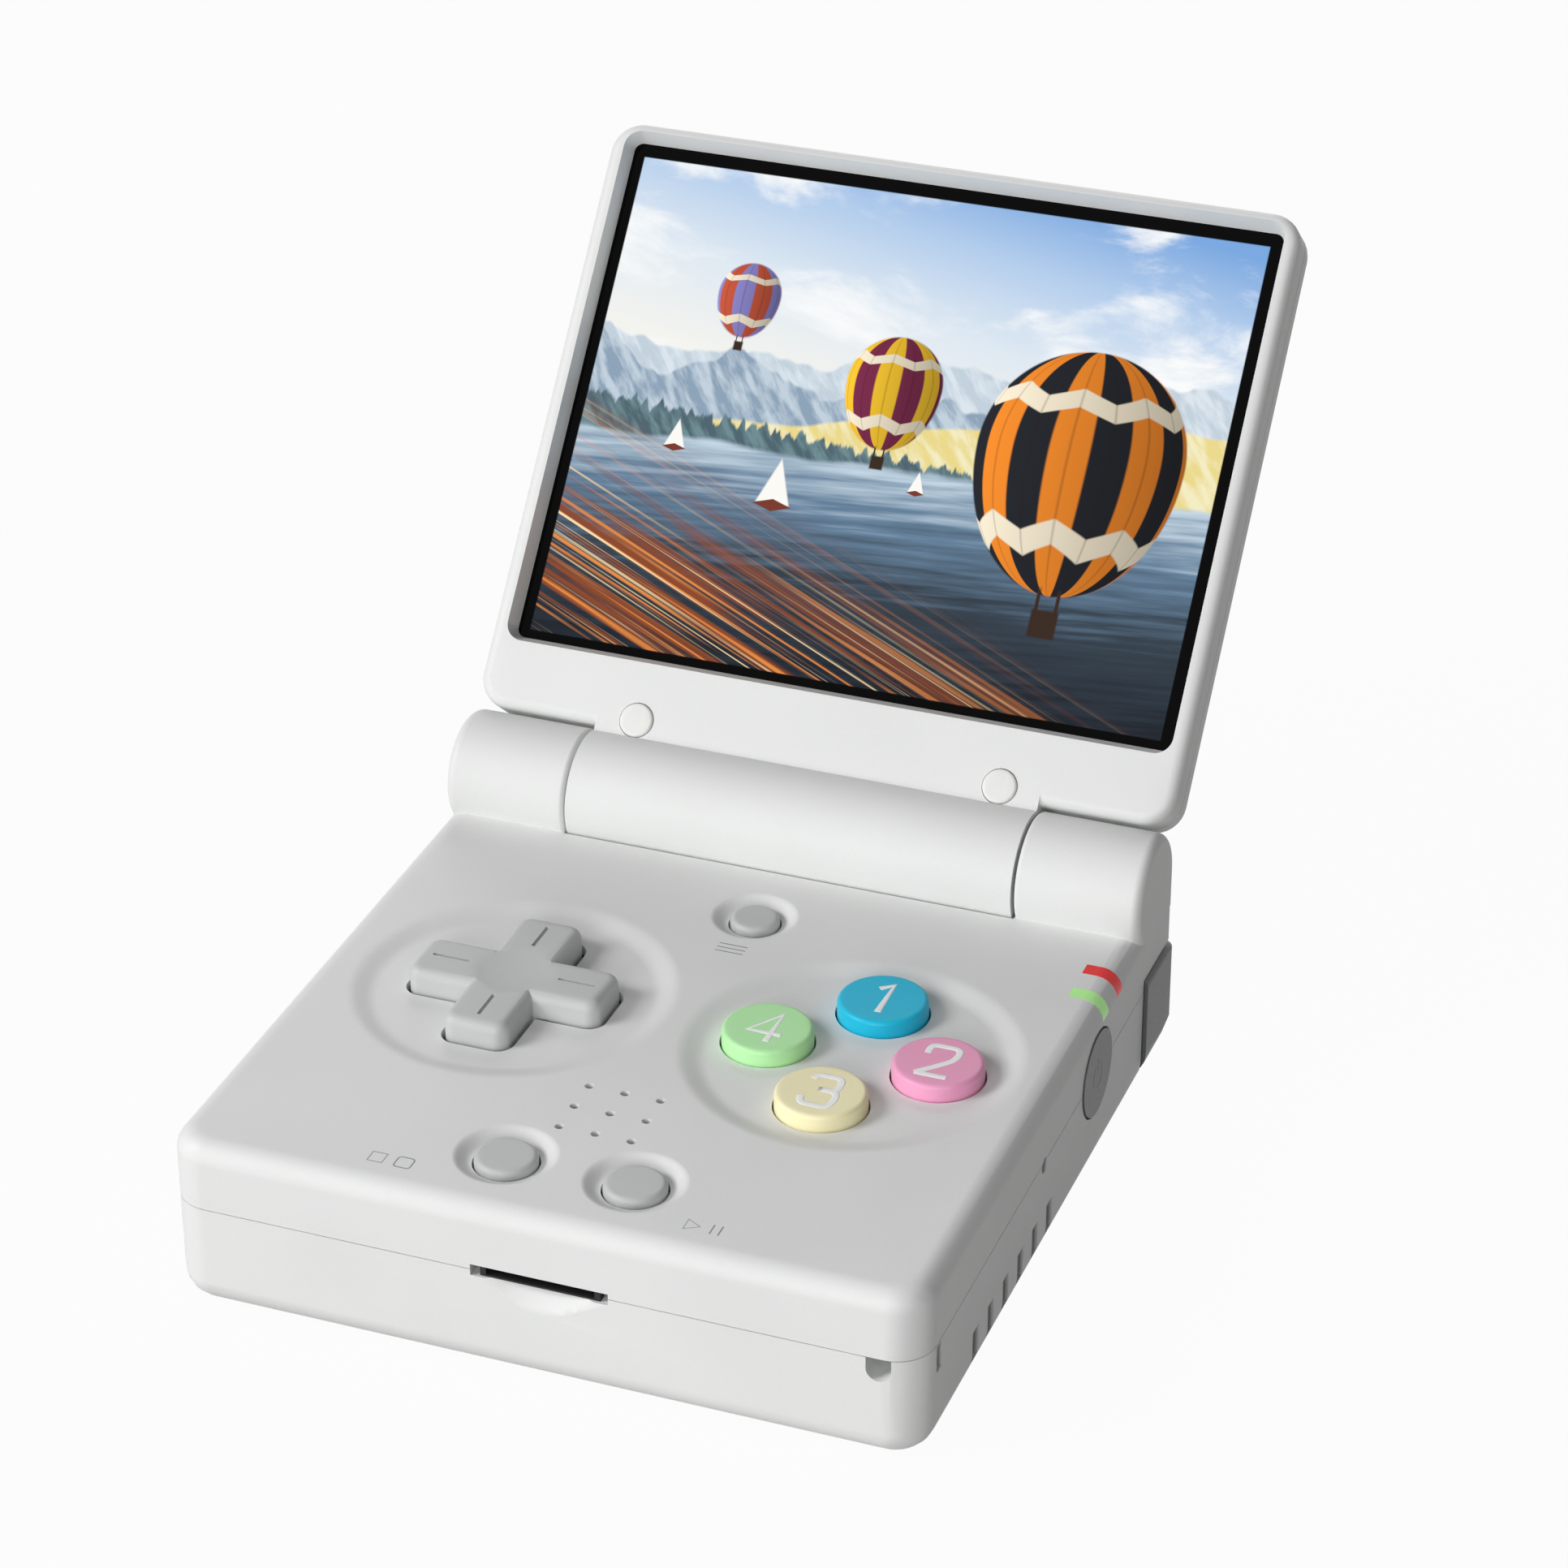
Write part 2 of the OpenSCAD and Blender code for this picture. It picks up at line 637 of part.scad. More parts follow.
module base_lower_shell() {
    color(shade_light) difference() {
        union() {
            difference() {
                casing_block(body_w, front_y, back_y, front_r, back_r, corner_r, 0, part_z, under_r, 0);
                translate([0, 0, floor_top]) linear_extrude(part_z)
                    round_rect(body_w - 2 * wall, body_d - 2 * wall, 2);
            }
            for (s = [-1, 1]) {
                pocket_walls(s, floor_top - 0.5, part_z);
            }
            box([slot_x - slot_w / 2 - 2, front_y + 0.8, floor_top - 0.5],
                [slot_x + slot_w / 2 + 2, front_y + front_wall - 0.1, part_z]);
            lanyard_block(floor_top - 0.5, part_z);
            at_screws() translate([0, 0, floor_top - 0.5]) cylinder(r = boss_r, h = board_z - floor_top + 0.5);
        }
        for (s = [-1, 1]) {
            trigger_pocket(s);
            translate([s * trig_px, trig_py, pin_low]) cylinder(r = trig_pin_r, h = 2);
        }
        at_screws() {
            translate([0, 0, -1]) cylinder(r = screw_head_r + 0.15, h = head_deep + 1);
            cylinder(r = screw_r + 0.1, h = part_z);
        }
        translate([slot_x, front_y + scoop_full - scoop_rs, scoop_cz]) sphere(scoop_rs);
        box([slot_x - slot_w / 2, front_y - 1, slot_z - slot_h / 2],
            [slot_x + slot_w / 2, front_y + wall + 2, slot_z + 2]);
        box([half_w - lanyard_x - lanyard_w / 2, front_y - 1, part_z - lanyard_h + lanyard_w / 2],
            [half_w - lanyard_x + lanyard_w / 2, lanyard_end, part_z + 1]);
        translate([half_w - lanyard_x, lanyard_end, part_z - lanyard_h + lanyard_w / 2])
            rotate([90, 0, 0]) cylinder(r = lanyard_w / 2, h = lanyard_end - front_y + 1);
        box([half_w - lanyard_x - lanyard_w / 2, lanyard_end - lanyard_side, part_z - lanyard_h - 0.7],
            [half_w + 1, lanyard_end, part_z - 0.2]);
        translate([0, power_row, power_z]) rod_x(power_r + key_gap, half_w - wall - 1, half_w + 1);
        box([-half_w - 1, rocker_row - rocker_len / 2 - 0.3, power_z - rocker_h / 2 - 0.3],
            [-half_w + wall + 1, rocker_row + rocker_len / 2 + 0.3, power_z + rocker_h / 2 + 0.3]);
        translate([0, front_y + reset_y, part_z - 0.4]) rod_x(reset_r, half_w - wall - 1, half_w + 1);
        for (i = [0:vent_n - 1]) {
            translate([half_w - wall - 0.5, front_y + vent_y + i * vent_pitch - vent_w / 2, 2.2])
                cube([wall + 2, vent_w, vent_top - 2.2]);
        }
        translate([-jack_x, back_y, port_z]) rotate([90, 0, 0]) cylinder(r = 3.1, h = 5, center = true);
        translate([usb_x, back_y, port_z]) rotate([90, 0, 0]) linear_extrude(6, center = true)
            round_rect(usb_w + 0.8, usb_h + 0.8, usb_h / 2);
    }
}

// Curved light window that wraps from the top face down the right side
module lamp_solid(i) {
    y0 = back_y - lamp_back + i * lamp_pitch - lamp_w / 2;
    translate([0, y0 + lamp_w, 0]) rotate([90, 0, 0]) linear_extrude(lamp_w) difference() {
        union() {
            translate([half_w - edge_r, body_t - edge_r]) intersection() {
                circle(edge_r);
                square(edge_r);
            }
            translate([half_w - lamp_run, body_t - edge_r]) square([lamp_run - edge_r, edge_r]);
        }
        translate([half_w - edge_r, body_t - edge_r]) circle(edge_r - 1.1);
        translate([half_w - lamp_run - 1, body_t - edge_r - 1]) square([lamp_run - edge_r + 1, edge_r - 0.1]);
    }
}

module red_light_pipe() {
    color("#C9484A") lamp_solid(1);
}

module green_light_pipe() {
    color("#8FD080") lamp_solid(0);
}

module main_board() {
    color("#2E6B45") difference() {
        box([-board_half, board_front, board_z], [board_half, board_back, board_top]);
        at_screws() cylinder(r = screw_r + 0.2, h = 40);
    }
}

module battery_cell() {
    color("#4A5568") translate([-battery_w / 2, -battery_d / 2, floor_top])
        cube([battery_w, battery_d, battery_t]);
}

module speaker_driver() {
    color("#3A3A3C") translate([0, front_y + sound_y, ceiling - driver_h]) difference() {
        cylinder(r = driver_r, h = driver_h);
        translate([0, 0, driver_h - 0.6]) cylinder(r = driver_r - 1, h = 1);
    }
}

module card_socket() {
    color("#B8BCC0") difference() {
        box([slot_x - slot_w / 2 - socket_side, front_y + front_wall, board_top],
            [slot_x + slot_w / 2 + socket_side, front_y + front_wall + socket_len, option_seat]);
        box([slot_x - slot_w / 2, front_y, slot_z - slot_h / 2],
            [slot_x + slot_w / 2, front_y + front_wall + socket_len - 1, slot_z + slot_h / 2]);
    }
}

module card_mouth() {
    color("#1E1E20") difference() {
        box([slot_x - mouth_w / 2, front_y + mouth_in, slot_z - slot_h / 2],
            [slot_x + mouth_w / 2, front_y + front_wall - 0.05, slot_z + slot_h / 2]);
        box([slot_x - card_w / 2, front_y, slot_z - card_h / 2],
            [slot_x + card_w / 2, front_y + front_wall + 1, slot_z + card_h / 2]);
    }
}

module usb_port() {
    color("#A9ADB1") translate([usb_x, back_y - 0.3, port_z]) rotate([90, 0, 0]) difference() {
        linear_extrude(7) round_rect(usb_w + 0.7, usb_h + 0.7, usb_h / 2);
        translate([0, 0, -1]) linear_extrude(6.6) round_rect(usb_w - 0.06, usb_h - 0.06, usb_h / 2 - 0.05);
    }
}

module audio_jack() {
    color("#2B2B2D") translate([-jack_x, back_y - 0.3, port_z]) rotate([90, 0, 0]) difference() {
        union() {
            cylinder(r = jack_r + jack_ring, h = 3);
            translate([-jack_w / 2, -jack_r - jack_ring, 2.2])
                cube([jack_w, board_z - port_z + jack_r + jack_ring, jack_len - 2.2]);
        }
        translate([0, 0, -1]) cylinder(r = jack_r, h = jack_len);
    }
}

module casing_screws() {
    color("#8C8F93") at_screws() {
        translate([0, 0, 0.6]) difference() {
            cylinder(r = screw_head_r, h = head_deep - 0.6);
            translate([0, 0, 0.3]) cube([0.7, 2.4, 1], center = true);
            translate([0, 0, 0.3]) cube([2.4, 0.7, 1], center = true);
        }
        translate([0, 0, head_deep]) cylinder(r = screw_r, h = screw_top - head_deep);
    }
}

module face_button_membrane() {
    color("#5C5C60") translate([face_x, face_y, board_top]) {
        cylinder(r = face_off + 3.4, h = 1);
        for (a = [0:90:270]) {
            translate([face_off * cos(a), face_off * sin(a), 0]) cylinder(r = 3.2, h = dome_top - board_top);
        }
    }
}

module dpad_membrane() {
    color("#5C5C60") translate([pad_x, pad_y, board_top]) {
        cylinder(r = pad_flange_r, h = 1);
        cylinder(r = ball_r, h = ball_z - ball_r - 0.05 - board_top);
        for (a = [0:90:270]) {
            rotate([0, 0, a]) translate([8, 0, 0]) cylinder(r = 2.4, h = pad_mat_top - board_top);
        }
    }
}

module option_membrane() {
    color("#5C5C60") translate([0, front_y + option_y, option_seat]) {
        box([-option_x, -1.5, 0], [option_x, 1.5, 0.6]);
        for (s = [-1, 1]) {
            translate([s * option_x, 0, 0]) cylinder(r = 1.4, h = dome_top - option_seat);
        }
    }
}

module menu_membrane() {
    color("#5C5C60") translate([0, menu_row, board_top]) {
        box([-2, -2, 0], [2, 2, 1.4]);
        cylinder(r = 1.4, h = dome_top - board_top);
    }
}

module power_switch() {
    color("#4C4D50") box([board_half - 4, power_row - 2, board_top],
        [half_w - wall - 2.8 - power_travel, power_row + 2, power_z + 1.4]);
}

module volume_switch() {
    z0 = power_z - rocker_h / 2 + 0.3;
    z1 = power_z + rocker_h / 2 - 0.3;
    color("#4C4D50") difference() {
        union() {
            box([rocker_x + 1.6, rocker_row - 3, board_top], [-board_half + 4, rocker_row + 3, z1 + 0.9]);
            box([rocker_x - 1, rocker_row - 1.1, z1 + 0.1], [rocker_x + 2, rocker_row + 1.1, z1 + 0.9]);
            box([rocker_x - 1, rocker_row - 1.1, z0 - 0.9], [rocker_x + 1.8, rocker_row + 1.1, z0 - 0.1]);
            box([rocker_x + 1.2, rocker_row - 1.1, z0 - 0.9], [rocker_x + 1.8, rocker_row + 1.1, board_top + 0.5]);
        }
        translate([rocker_x, rocker_row, z0 - 3]) cylinder(r = 0.65, h = 12);
    }
}

module hinge_bushing() {
    translate([0, axis_y, axis_z]) difference() {
        rod_x(pin_r + pin_fit + bush_wall, ear_in, ear_in + bush_len);
        rod_x(pin_r + pin_fit, ear_in - 1, ear_in + bush_len + 1);
    }
}

module left_hinge_bushing() {
    color("#3C3C3E") mirror([1, 0, 0]) hinge_bushing();
}

module right_hinge_bushing() {
    color("#3C3C3E") hinge_bushing();
}

module trigger_pin() {
    translate([trig_px, trig_py, pin_low]) cylinder(r = trig_pin_r, h = pocket_top + 1 - pin_low);
}

module left_trigger_pin() {
    color("#A0A3A6") mirror([1, 0, 0]) trigger_pin();
}

module right_trigger_pin() {
    color("#A0A3A6") trigger_pin();
}

// Trigger that wraps the back corner of the base, on the +X side
module trigger() {
    difference() {
        intersection() {
            casing_block(body_w + 2 * trig_proud, front_y, trig_back, front_r, back_r + trig_proud,
                corner_r + trig_proud, trig_low, trig_top, under_r - 0.4, 0.7);
            box([trig_in, trig_front, trig_low - 1], [half_w + 2, trig_back + 1, trig_top + 1]);
        }
        box([trig_in - 1, trig_front - 1, trig_low - 1], [trig_wall_x, trig_wall_y, trig_top + 1]);
        translate([trig_px, trig_py, 0]) cylinder(r = trig_pin_r + pin_fit, h = trig_top + 1);
    }
}

module left_trigger() {
    color(shade_dark) mirror([1, 0, 0]) trigger();
}

module right_trigger() {
    color(shade_dark) trigger();
}

// Outline of the lid in closed coordinates, between two depths from the inner face
module lid_block(d0, d1, low_f, high_f) {
    casing_block(lid_w, -lid_len, -lid_low, lid_r, lid_r, lid_r, d0 - lid_drop, d1 - lid_drop, low_f, high_f);
}

module lid_front_shell() {
    z_in = -lid_drop;
    flare = (glass_deep + 0.2) / glass_deep;
    color(shade_light) lid_place() difference() {
        union() {
            difference() {
                lid_block(0, lid_part, lid_in_r, 0);
                translate([0, -view_mid, z_in + glass_deep]) linear_extrude(lid_part)
                    round_rect(glass_w + 0.1, glass_h + 0.1, 1.2);
                box([-lid_w / 2 + 2.4, -view_mid + glass_h / 2 + 0.8, z_in + lid_wall],
                    [lid_w / 2 - 2.4, -lid_low - 1.7, z_in + lid_part + 1]);
            }
            rod_x(barrel_r, -barrel_half, barrel_half);
            box([-barrel_half, -lid_low - 1.7, z_in], [barrel_half, -2, z_in + lid_t - 0.8]);
        }
        hull() {
            for (sx = [-1, 1], sy = [-1, 1]) {
                translate([sx * (view_w / 2 - 1), -view_mid + sy * (view_h / 2 - 1), z_in + glass_deep - eps])
                    cylinder(r = 1, h = eps, $fn = round_fn);
                translate([sx * (view_w / 2 + recess_side_run * flare - 2),
                    -view_mid + sy * (view_h / 2 + recess_end_run * flare - 2), z_in - 0.2])
                    cylinder(r = 2, h = eps, $fn = round_fn);
            }
        }
        translate([0, -view_mid, z_in + glass_deep - 0.1]) linear_extrude(0.2) round_rect(view_w, view_h, 1);
        rod_x(barrel_r - 2, -barrel_half + pin_seat, barrel_half - pin_seat);
        rod_x(pin_r, -barrel_half - 1, barrel_half + 1);
        for (s = [-1, 1]) {
            translate([s * lid_pad_x, -pad_pos_v, z_in - 0.1]) cylinder(r = lid_pad_r + 0.08, h = 0.9);
        }
    }
}

module lid_rear_shell() {
    color(shade_light) lid_place() difference() {
        lid_block(lid_part, lid_t, 0, lid_out_r);
        seam_cut(lid_w, -lid_len, -lid_low, lid_part - lid_drop);
        translate([0, -(lid_len + lid_low) / 2, lid_part - lid_drop - 1])
            linear_extrude(lid_t - lid_part + 1 - lid_wall)
            round_rect(lid_w - 2 * lid_wall, lid_len - lid_low - 2 * lid_wall, 2);
        box([-barrel_half, -lid_low - 1.7, -5], [barrel_half, 0, lid_t]);
    }
}

module display_glass() {
    color("#101113") lid_place() translate([0, -view_mid, glass_deep - lid_drop])
        linear_extrude(glass_t) round_rect(glass_w, glass_h, 1.1);
}

module display_panel() {
    color("#2A3140") lid_place() translate([0, -screen_mid, glass_deep + glass_t - lid_drop])
        linear_extrude(panel_t) round_rect(panel_w, panel_h, 0.6);
}

module display_gasket() {
    z0 = glass_deep + glass_t + panel_t;
    color("#303134") lid_place() translate([0, -screen_mid, z0 - lid_drop])
        linear_extrude(lid_t - lid_wall - z0) difference() {
            round_rect(panel_w - 1.6, panel_h - 1.6, 1);
            round_rect(panel_w - 9.6, panel_h - 9.6, 1);
        }
}

module lid_pad(s) {
    steps = 4;
    low = -lid_drop - lid_pad_up;
    edge = [for (i = [0:steps]) [lid_pad_r - lid_pad_round * (1 - sin(90 * i / steps)),
        low + lid_pad_round * (1 - cos(90 * i / steps))]];
    lid_place() translate([s * lid_pad_x, -pad_pos_v, 0]) rotate_extrude()
        polygon(concat([[0, low]], edge, [[lid_pad_r, 0.8 - lid_drop], [0, 0.8 - lid_drop]]));
}

module left_lid_pad() {
    color("#F2F3F1") lid_pad(-1);
}

module right_lid_pad() {
    color("#F2F3F1") lid_pad(1);
}

module hinge_pin() {
    lid_place() rod_x(pin_r, barrel_half - pin_seat, barrel_half - pin_seat + pin_len);
}

module left_hinge_pin() {
    color("#A0A3A6") mirror([1, 0, 0]) hinge_pin();
}

module right_hinge_pin() {
    color("#A0A3A6") hinge_pin();
}

// One bar of the direction pad with rounded upper edges
module pad_bar() {
    hull() {
        for (sx = [-1, 1], sy = [-1, 1]) {
            translate([sx * (pad_len / 2 - pad_r), sy * (pad_arm / 2 - pad_r), 0])
                post(pad_r, pad_flange_top - 0.2, dish_floor + pad_up, 0, pad_edge);
        }
    }
}

// Cutter for one bar's hole, with a gap of the same width all round the bar
module pad_hole() {
    l = pad_len / 2 + pad_gap;
    w = pad_arm / 2 + pad_gap;
    r = pad_r + pad_gap;
    h = top_wall + 2;
    translate([-l, r - w, 0]) cube([2 * l, 2 * (w - r), h]);
    translate([r - l, -w, 0]) cube([2 * (l - r), 2 * w, h]);
    for (sx = [-1, 1], sy = [-1, 1]) {
        translate([sx * (l - r), sy * (w - r), 0]) cylinder(r = r, h = h);
    }
}

module dpad() {
    high = dish_floor + pad_up;
    color(shade_light) translate([pad_x, pad_y, 0]) difference() {
        union() {
            pad_bar();
            rotate([0, 0, 90]) pad_bar();
            translate([0, 0, pad_flange_low]) cylinder(r = pad_flange_r, h = flange_t);
        }
        translate([0, 0, high + pad_bowl_r - pad_bowl_deep]) sphere(pad_bowl_r, $fn = 120);
        translate([0, 0, ball_z]) sphere(ball_r + 0.06);
        for (a = [0:90:270]) {
            rotate([0, 0, a]) translate([pad_len / 2 - groove_in, 0, high])
                cube([groove_len, groove_w, 2 * groove_deep], center = true);
        }
    }
}

module dpad_pivot() {
    color("#5C5C60") translate([pad_x, pad_y, ball_z]) sphere(ball_r);
}

module north_button() {
    color("#2A9DC0") round_key(face_x, face_y + face_off, face_r, dish_floor, face_up, key_edge);
}

module east_button() {
    color("#D583AE") round_key(face_x + face_off, face_y, face_r, dish_floor, face_up, key_edge);
}

module south_button() {
    color("#E8DC9A") round_key(face_x, face_y - face_off, face_r, dish_floor, face_up, key_edge);
}

module west_button() {
    color("#8ADB7F") round_key(face_x - face_off, face_y, face_r, dish_floor, face_up, key_edge);
}

module menu_button() {
    color(shade_light) round_key(0, menu_row, menu_r, small_floor, small_up, small_edge);
}

module select_button() {
    color(shade_light) round_key(-option_x, front_y + option_y, option_r, small_floor, small_up, small_edge);
}

module start_button() {
    color(shade_light) round_key(option_x, front_y + option_y, option_r, small_floor, small_up, small_edge);
}

module power_button() {
    x1 = half_w + 0.15;
    color(shade_dark) translate([0, power_row, power_z]) {
        rod_x(power_r, half_w - wall - 1, x1);
        rod_x(power_r + 0.55, half_w - wall - 1.1, half_w - wall - 0.3);
        rod_x(1.4, half_w - wall - 2.5, half_w - wall - 0.9);
    }
}

module volume_rocker() {
    z0 = power_z - rocker_h / 2 + 0.3;
    z1 = power_z + rocker_h / 2 - 0.3;
    color(shade_dark) {
        translate([-half_w - 0.5, rocker_row, power_z]) rotate([0, 90, 0]) linear_extrude(wall + 0.9)
            round_rect(rocker_h, rocker_len, rocker_h / 2 - 0.05);
        box([-half_w + wall + 0.4, rocker_row - rocker_len / 2 - 0.7, power_z - rocker_h / 2 - 0.6],
            [-half_w + wall + 0.9, rocker_row + rocker_len / 2 + 0.7, power_z + rocker_h / 2 + 0.6]);
        box([-half_w + wall + 0.8, rocker_row - 0.9, z0 + 0.1], [rocker_x + 0.5, rocker_row + 0.9, z1 - 0.1]);
        translate([rocker_x, rocker_row, z0 - 0.9]) cylinder(r = 0.6, h = z1 - z0 + 1.8);
    }
}

base_upper_shell();
base_lower_shell();
main_board();
battery_cell();
speaker_driver();
card_socket();
card_mouth();
usb_port();
audio_jack();
casing_screws();
face_button_membrane();
dpad_membrane();
option_membrane();
menu_membrane();
power_switch();
volume_switch();
red_light_pipe();
green_light_pipe();
left_hinge_bushing();
right_hinge_bushing();
left_trigger_pin();
right_trigger_pin();
lid_front_shell();
lid_rear_shell();
display_panel();
display_glass();
display_gasket();
left_lid_pad();
right_lid_pad();
left_hinge_pin();
right_hinge_pin();
dpad();
dpad_pivot();
north_button();
east_button();
south_button();
west_button();
menu_button();
select_button();
start_button();
left_trigger();
right_trigger();
power_button();
volume_rocker();
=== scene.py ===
"""Finishes, inlays, small fittings and studio for the clamshell handheld game console.

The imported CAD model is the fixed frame. Every size below is in millimetres in the same
frame: X to the player's right, Y towards the hinge, Z up out of the control face.
"""

from __future__ import annotations

import logging
import math
from dataclasses import dataclass, field
from enum import Enum
from typing import Protocol

import bmesh
import bpy
from mathutils import Matrix, Vector


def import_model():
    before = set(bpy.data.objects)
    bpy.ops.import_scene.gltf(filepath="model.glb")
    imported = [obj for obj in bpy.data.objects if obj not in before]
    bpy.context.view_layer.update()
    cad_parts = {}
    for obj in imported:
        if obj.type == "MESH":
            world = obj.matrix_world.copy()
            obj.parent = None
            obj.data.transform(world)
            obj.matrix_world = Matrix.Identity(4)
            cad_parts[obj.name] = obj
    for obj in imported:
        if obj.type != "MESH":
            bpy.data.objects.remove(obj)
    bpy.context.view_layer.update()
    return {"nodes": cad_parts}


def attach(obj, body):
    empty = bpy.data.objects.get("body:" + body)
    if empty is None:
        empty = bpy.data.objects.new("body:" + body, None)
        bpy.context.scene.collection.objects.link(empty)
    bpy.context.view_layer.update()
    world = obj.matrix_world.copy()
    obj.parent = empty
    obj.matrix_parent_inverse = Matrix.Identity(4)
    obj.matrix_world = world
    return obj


LOG = logging.getLogger("console")
MM = 0.001
BLACK = (0.0, 0.0, 0.0, 1.0)
WHITE = (1.0, 1.0, 1.0, 1.0)
# Node settings and inputs that many nodes share.
STAIN = {"data_type": "RGBA", "blend_type": "MULTIPLY"}
EASED = {"interpolation_type": "SMOOTHSTEP"}
# Noise hardly leaves this part of its range from 0 to 1.
NOISE_SPAN = {"From Min": 0.3, "From Max": 0.7}
FALLING = {"To Min": 1.0, "To Max": 0.0}
ABOVE = {"data_type": "FLOAT", "operation": "GREATER_THAN"}

Value = object
Point = tuple[float, float]
Place = tuple[float, float, float]


# --------------------------------------------------------------------------- helpers


def linear(hex_code: str) -> tuple[float, float, float, float]:
    """Turn an sRGB hex colour into Blender's linear colour.

    Args:
        hex_code: Colour as "#RRGGBB".

    Returns:
        Linear red, green and blue, and an opacity of 1.
    """
    parts = [int(hex_code[i : i + 2], 16) / 255 for i in (1, 3, 5)]
    lit = [p / 12.92 if p <= 0.04045 else ((p + 0.055) / 1.055) ** 2.4 for p in parts]
    return (lit[0], lit[1], lit[2], 1.0)


def node(
    tree: bpy.types.NodeTree,
    kind: str,
    settings: dict[str, Value] | None = None,
    inputs: dict[str | int, Value] | None = None,
) -> bpy.types.Node:
    """Add one node with its settings, constants and links.

    Args:
        tree: Node tree that takes the node.
        kind: Blender's name of the node type.
        settings: Properties set on the node.
        inputs: Socket name or index to a constant, a socket, or a node whose first
            output is linked.

    Returns:
        The new node.
    """
    made = tree.nodes.new(kind)
    for name, value in (settings or {}).items():
        setattr(made, name, value)
    for key, value in (inputs or {}).items():
        socket = made.inputs[key]
        if isinstance(value, bpy.types.Node):
            tree.links.new(value.outputs[0], socket)
        elif isinstance(value, bpy.types.NodeSocket):
            tree.links.new(value, socket)
        else:
            socket.default_value = value
    return made


def new_material(name: str) -> tuple[bpy.types.Material, bpy.types.NodeTree]:
    """Start an empty node material.

    Args:
        name: Name of the material.

    Returns:
        The material and its cleared node tree.
    """
    material = bpy.data.materials.new(name)
    material.use_nodes = True
    material.node_tree.nodes.clear()
    return material, material.node_tree


def ramp_stops(ramp: bpy.types.Node, stops: list[tuple[float, str]]) -> None:
    """Set the colour stops of a ramp node.

    Args:
        ramp: The Color Ramp node.
        stops: Positions from 0 to 1 with their hex colours, in rising order.
    """
    elements = ramp.color_ramp.elements
    while len(elements) < len(stops):
        elements.new(1.0)
    for element, (place, colour) in zip(elements, stops):
        element.position = place
        element.color = linear(colour)


def coated(tree: bpy.types.NodeTree, below: Value, *coats: tuple[Value, Value]) -> Value:
    """Lay coats of colour over one another.

    Args:
        tree: Node tree of the material.
        below: The lowest colour.
        coats: Share, from 0 to 1, and colour of each coat, from the lowest up.

    Returns:
        The combined colour.
    """
    for share, colour in coats:
        below = node(tree, "ShaderNodeMix", {"data_type": "RGBA"}, {
            "Factor": share, 6: below, 7: colour}).outputs[2]
    return below


def add_object(name: str, data: bpy.types.ID) -> bpy.types.Object:
    """Link a mesh, a camera or a lamp as an object at the origin, unturned and unscaled.

    Args:
        name: Name of the piece.
        data: Its mesh, with its place in its vertices, or its camera or lamp.

    Returns:
        The linked object.
    """
    data.name = name
    made = bpy.data.objects.new(name, data)
    bpy.context.scene.collection.objects.link(made)
    return made


# --------------------------------------------------------------------------- finishes


class Finish(Protocol):
    """A finish that can build its material."""

    name: str

    def build(self) -> bpy.types.Material:
        """Build the material."""


@dataclass(frozen=True)
class MouldedPlastic:
    """Injection-moulded ABS with a spark-eroded tool texture.

    Args:
        name: Name of the material.
        colour: Base colour as sRGB hex.
        roughness: Middle roughness of the moulded skin.
        grain_mm: Width of one grain of the tool texture.
        grain_deep_mm: Depth of that texture.
        mottle_mm: Width of the faint flow marks in the colour.
        mottle: Share by which the flow marks darken the colour.
        speck: Share by which the grain darkens it.
        specular: Specular level on the shader.
    """

    name: str
    colour: str
    roughness: float = 0.46
    grain_mm: float = 0.28
    grain_deep_mm: float = 0.004
    mottle_mm: float = 14.0
    mottle: float = 0.03
    speck: float = 0.015
    specular: float = 0.22

    def build(self) -> bpy.types.Material:
        """Build the moulded ABS: fine even grain, faint flow marks, slightly polished peaks.

        Returns:
            The material.
        """
        material, tree = new_material(self.name)
        place = node(tree, "ShaderNodeTexCoord").outputs["Object"]
        # The real texture is about 0.1 mm wide; it is drawn coarser so that it shows.
        grain = node(tree, "ShaderNodeTexNoise", None, {
            "Vector": place, "Scale": 1 / (self.grain_mm * MM), "Detail": 3.0, "Roughness": 0.6})
        flow = node(tree, "ShaderNodeTexNoise", None, {
            "Vector": place, "Scale": 1 / (self.mottle_mm * MM), "Detail": 2.0, "Roughness": 0.4})
        dark = node(tree, "ShaderNodeMapRange", None, {
            "Value": flow.outputs["Fac"], **NOISE_SPAN,
            "To Min": 1.0 - self.mottle, "To Max": 1.0})
        speck = node(tree, "ShaderNodeMapRange", None, {
            "Value": grain.outputs["Fac"], "From Min": 0.35, "From Max": 0.65,
            "To Min": 1.0 - self.speck, "To Max": 1.0})
        shade = node(tree, "ShaderNodeMath", {"operation": "MULTIPLY"}, {0: dark, 1: speck})
        tint = node(tree, "ShaderNodeMix", STAIN, {
            "Factor": 1.0, 6: linear(self.colour), 7: shade.outputs[0]})
        polish = node(tree, "ShaderNodeMapRange", None, {
            "Value": grain.outputs["Fac"], **NOISE_SPAN,
            "To Min": self.roughness + 0.06, "To Max": self.roughness - 0.05})
        bump = node(tree, "ShaderNodeBump", None, {
            "Strength": 0.3, "Distance": self.grain_deep_mm * MM, "Height": grain.outputs["Fac"]})
        skin = node(tree, "ShaderNodeBsdfPrincipled", None, {
            "Base Color": tint.outputs[2], "Roughness": polish, "Normal": bump,
            "IOR": 1.53, "Specular IOR Level": self.specular})
        node(tree, "ShaderNodeOutputMaterial", None, {"Surface": skin})
        return material


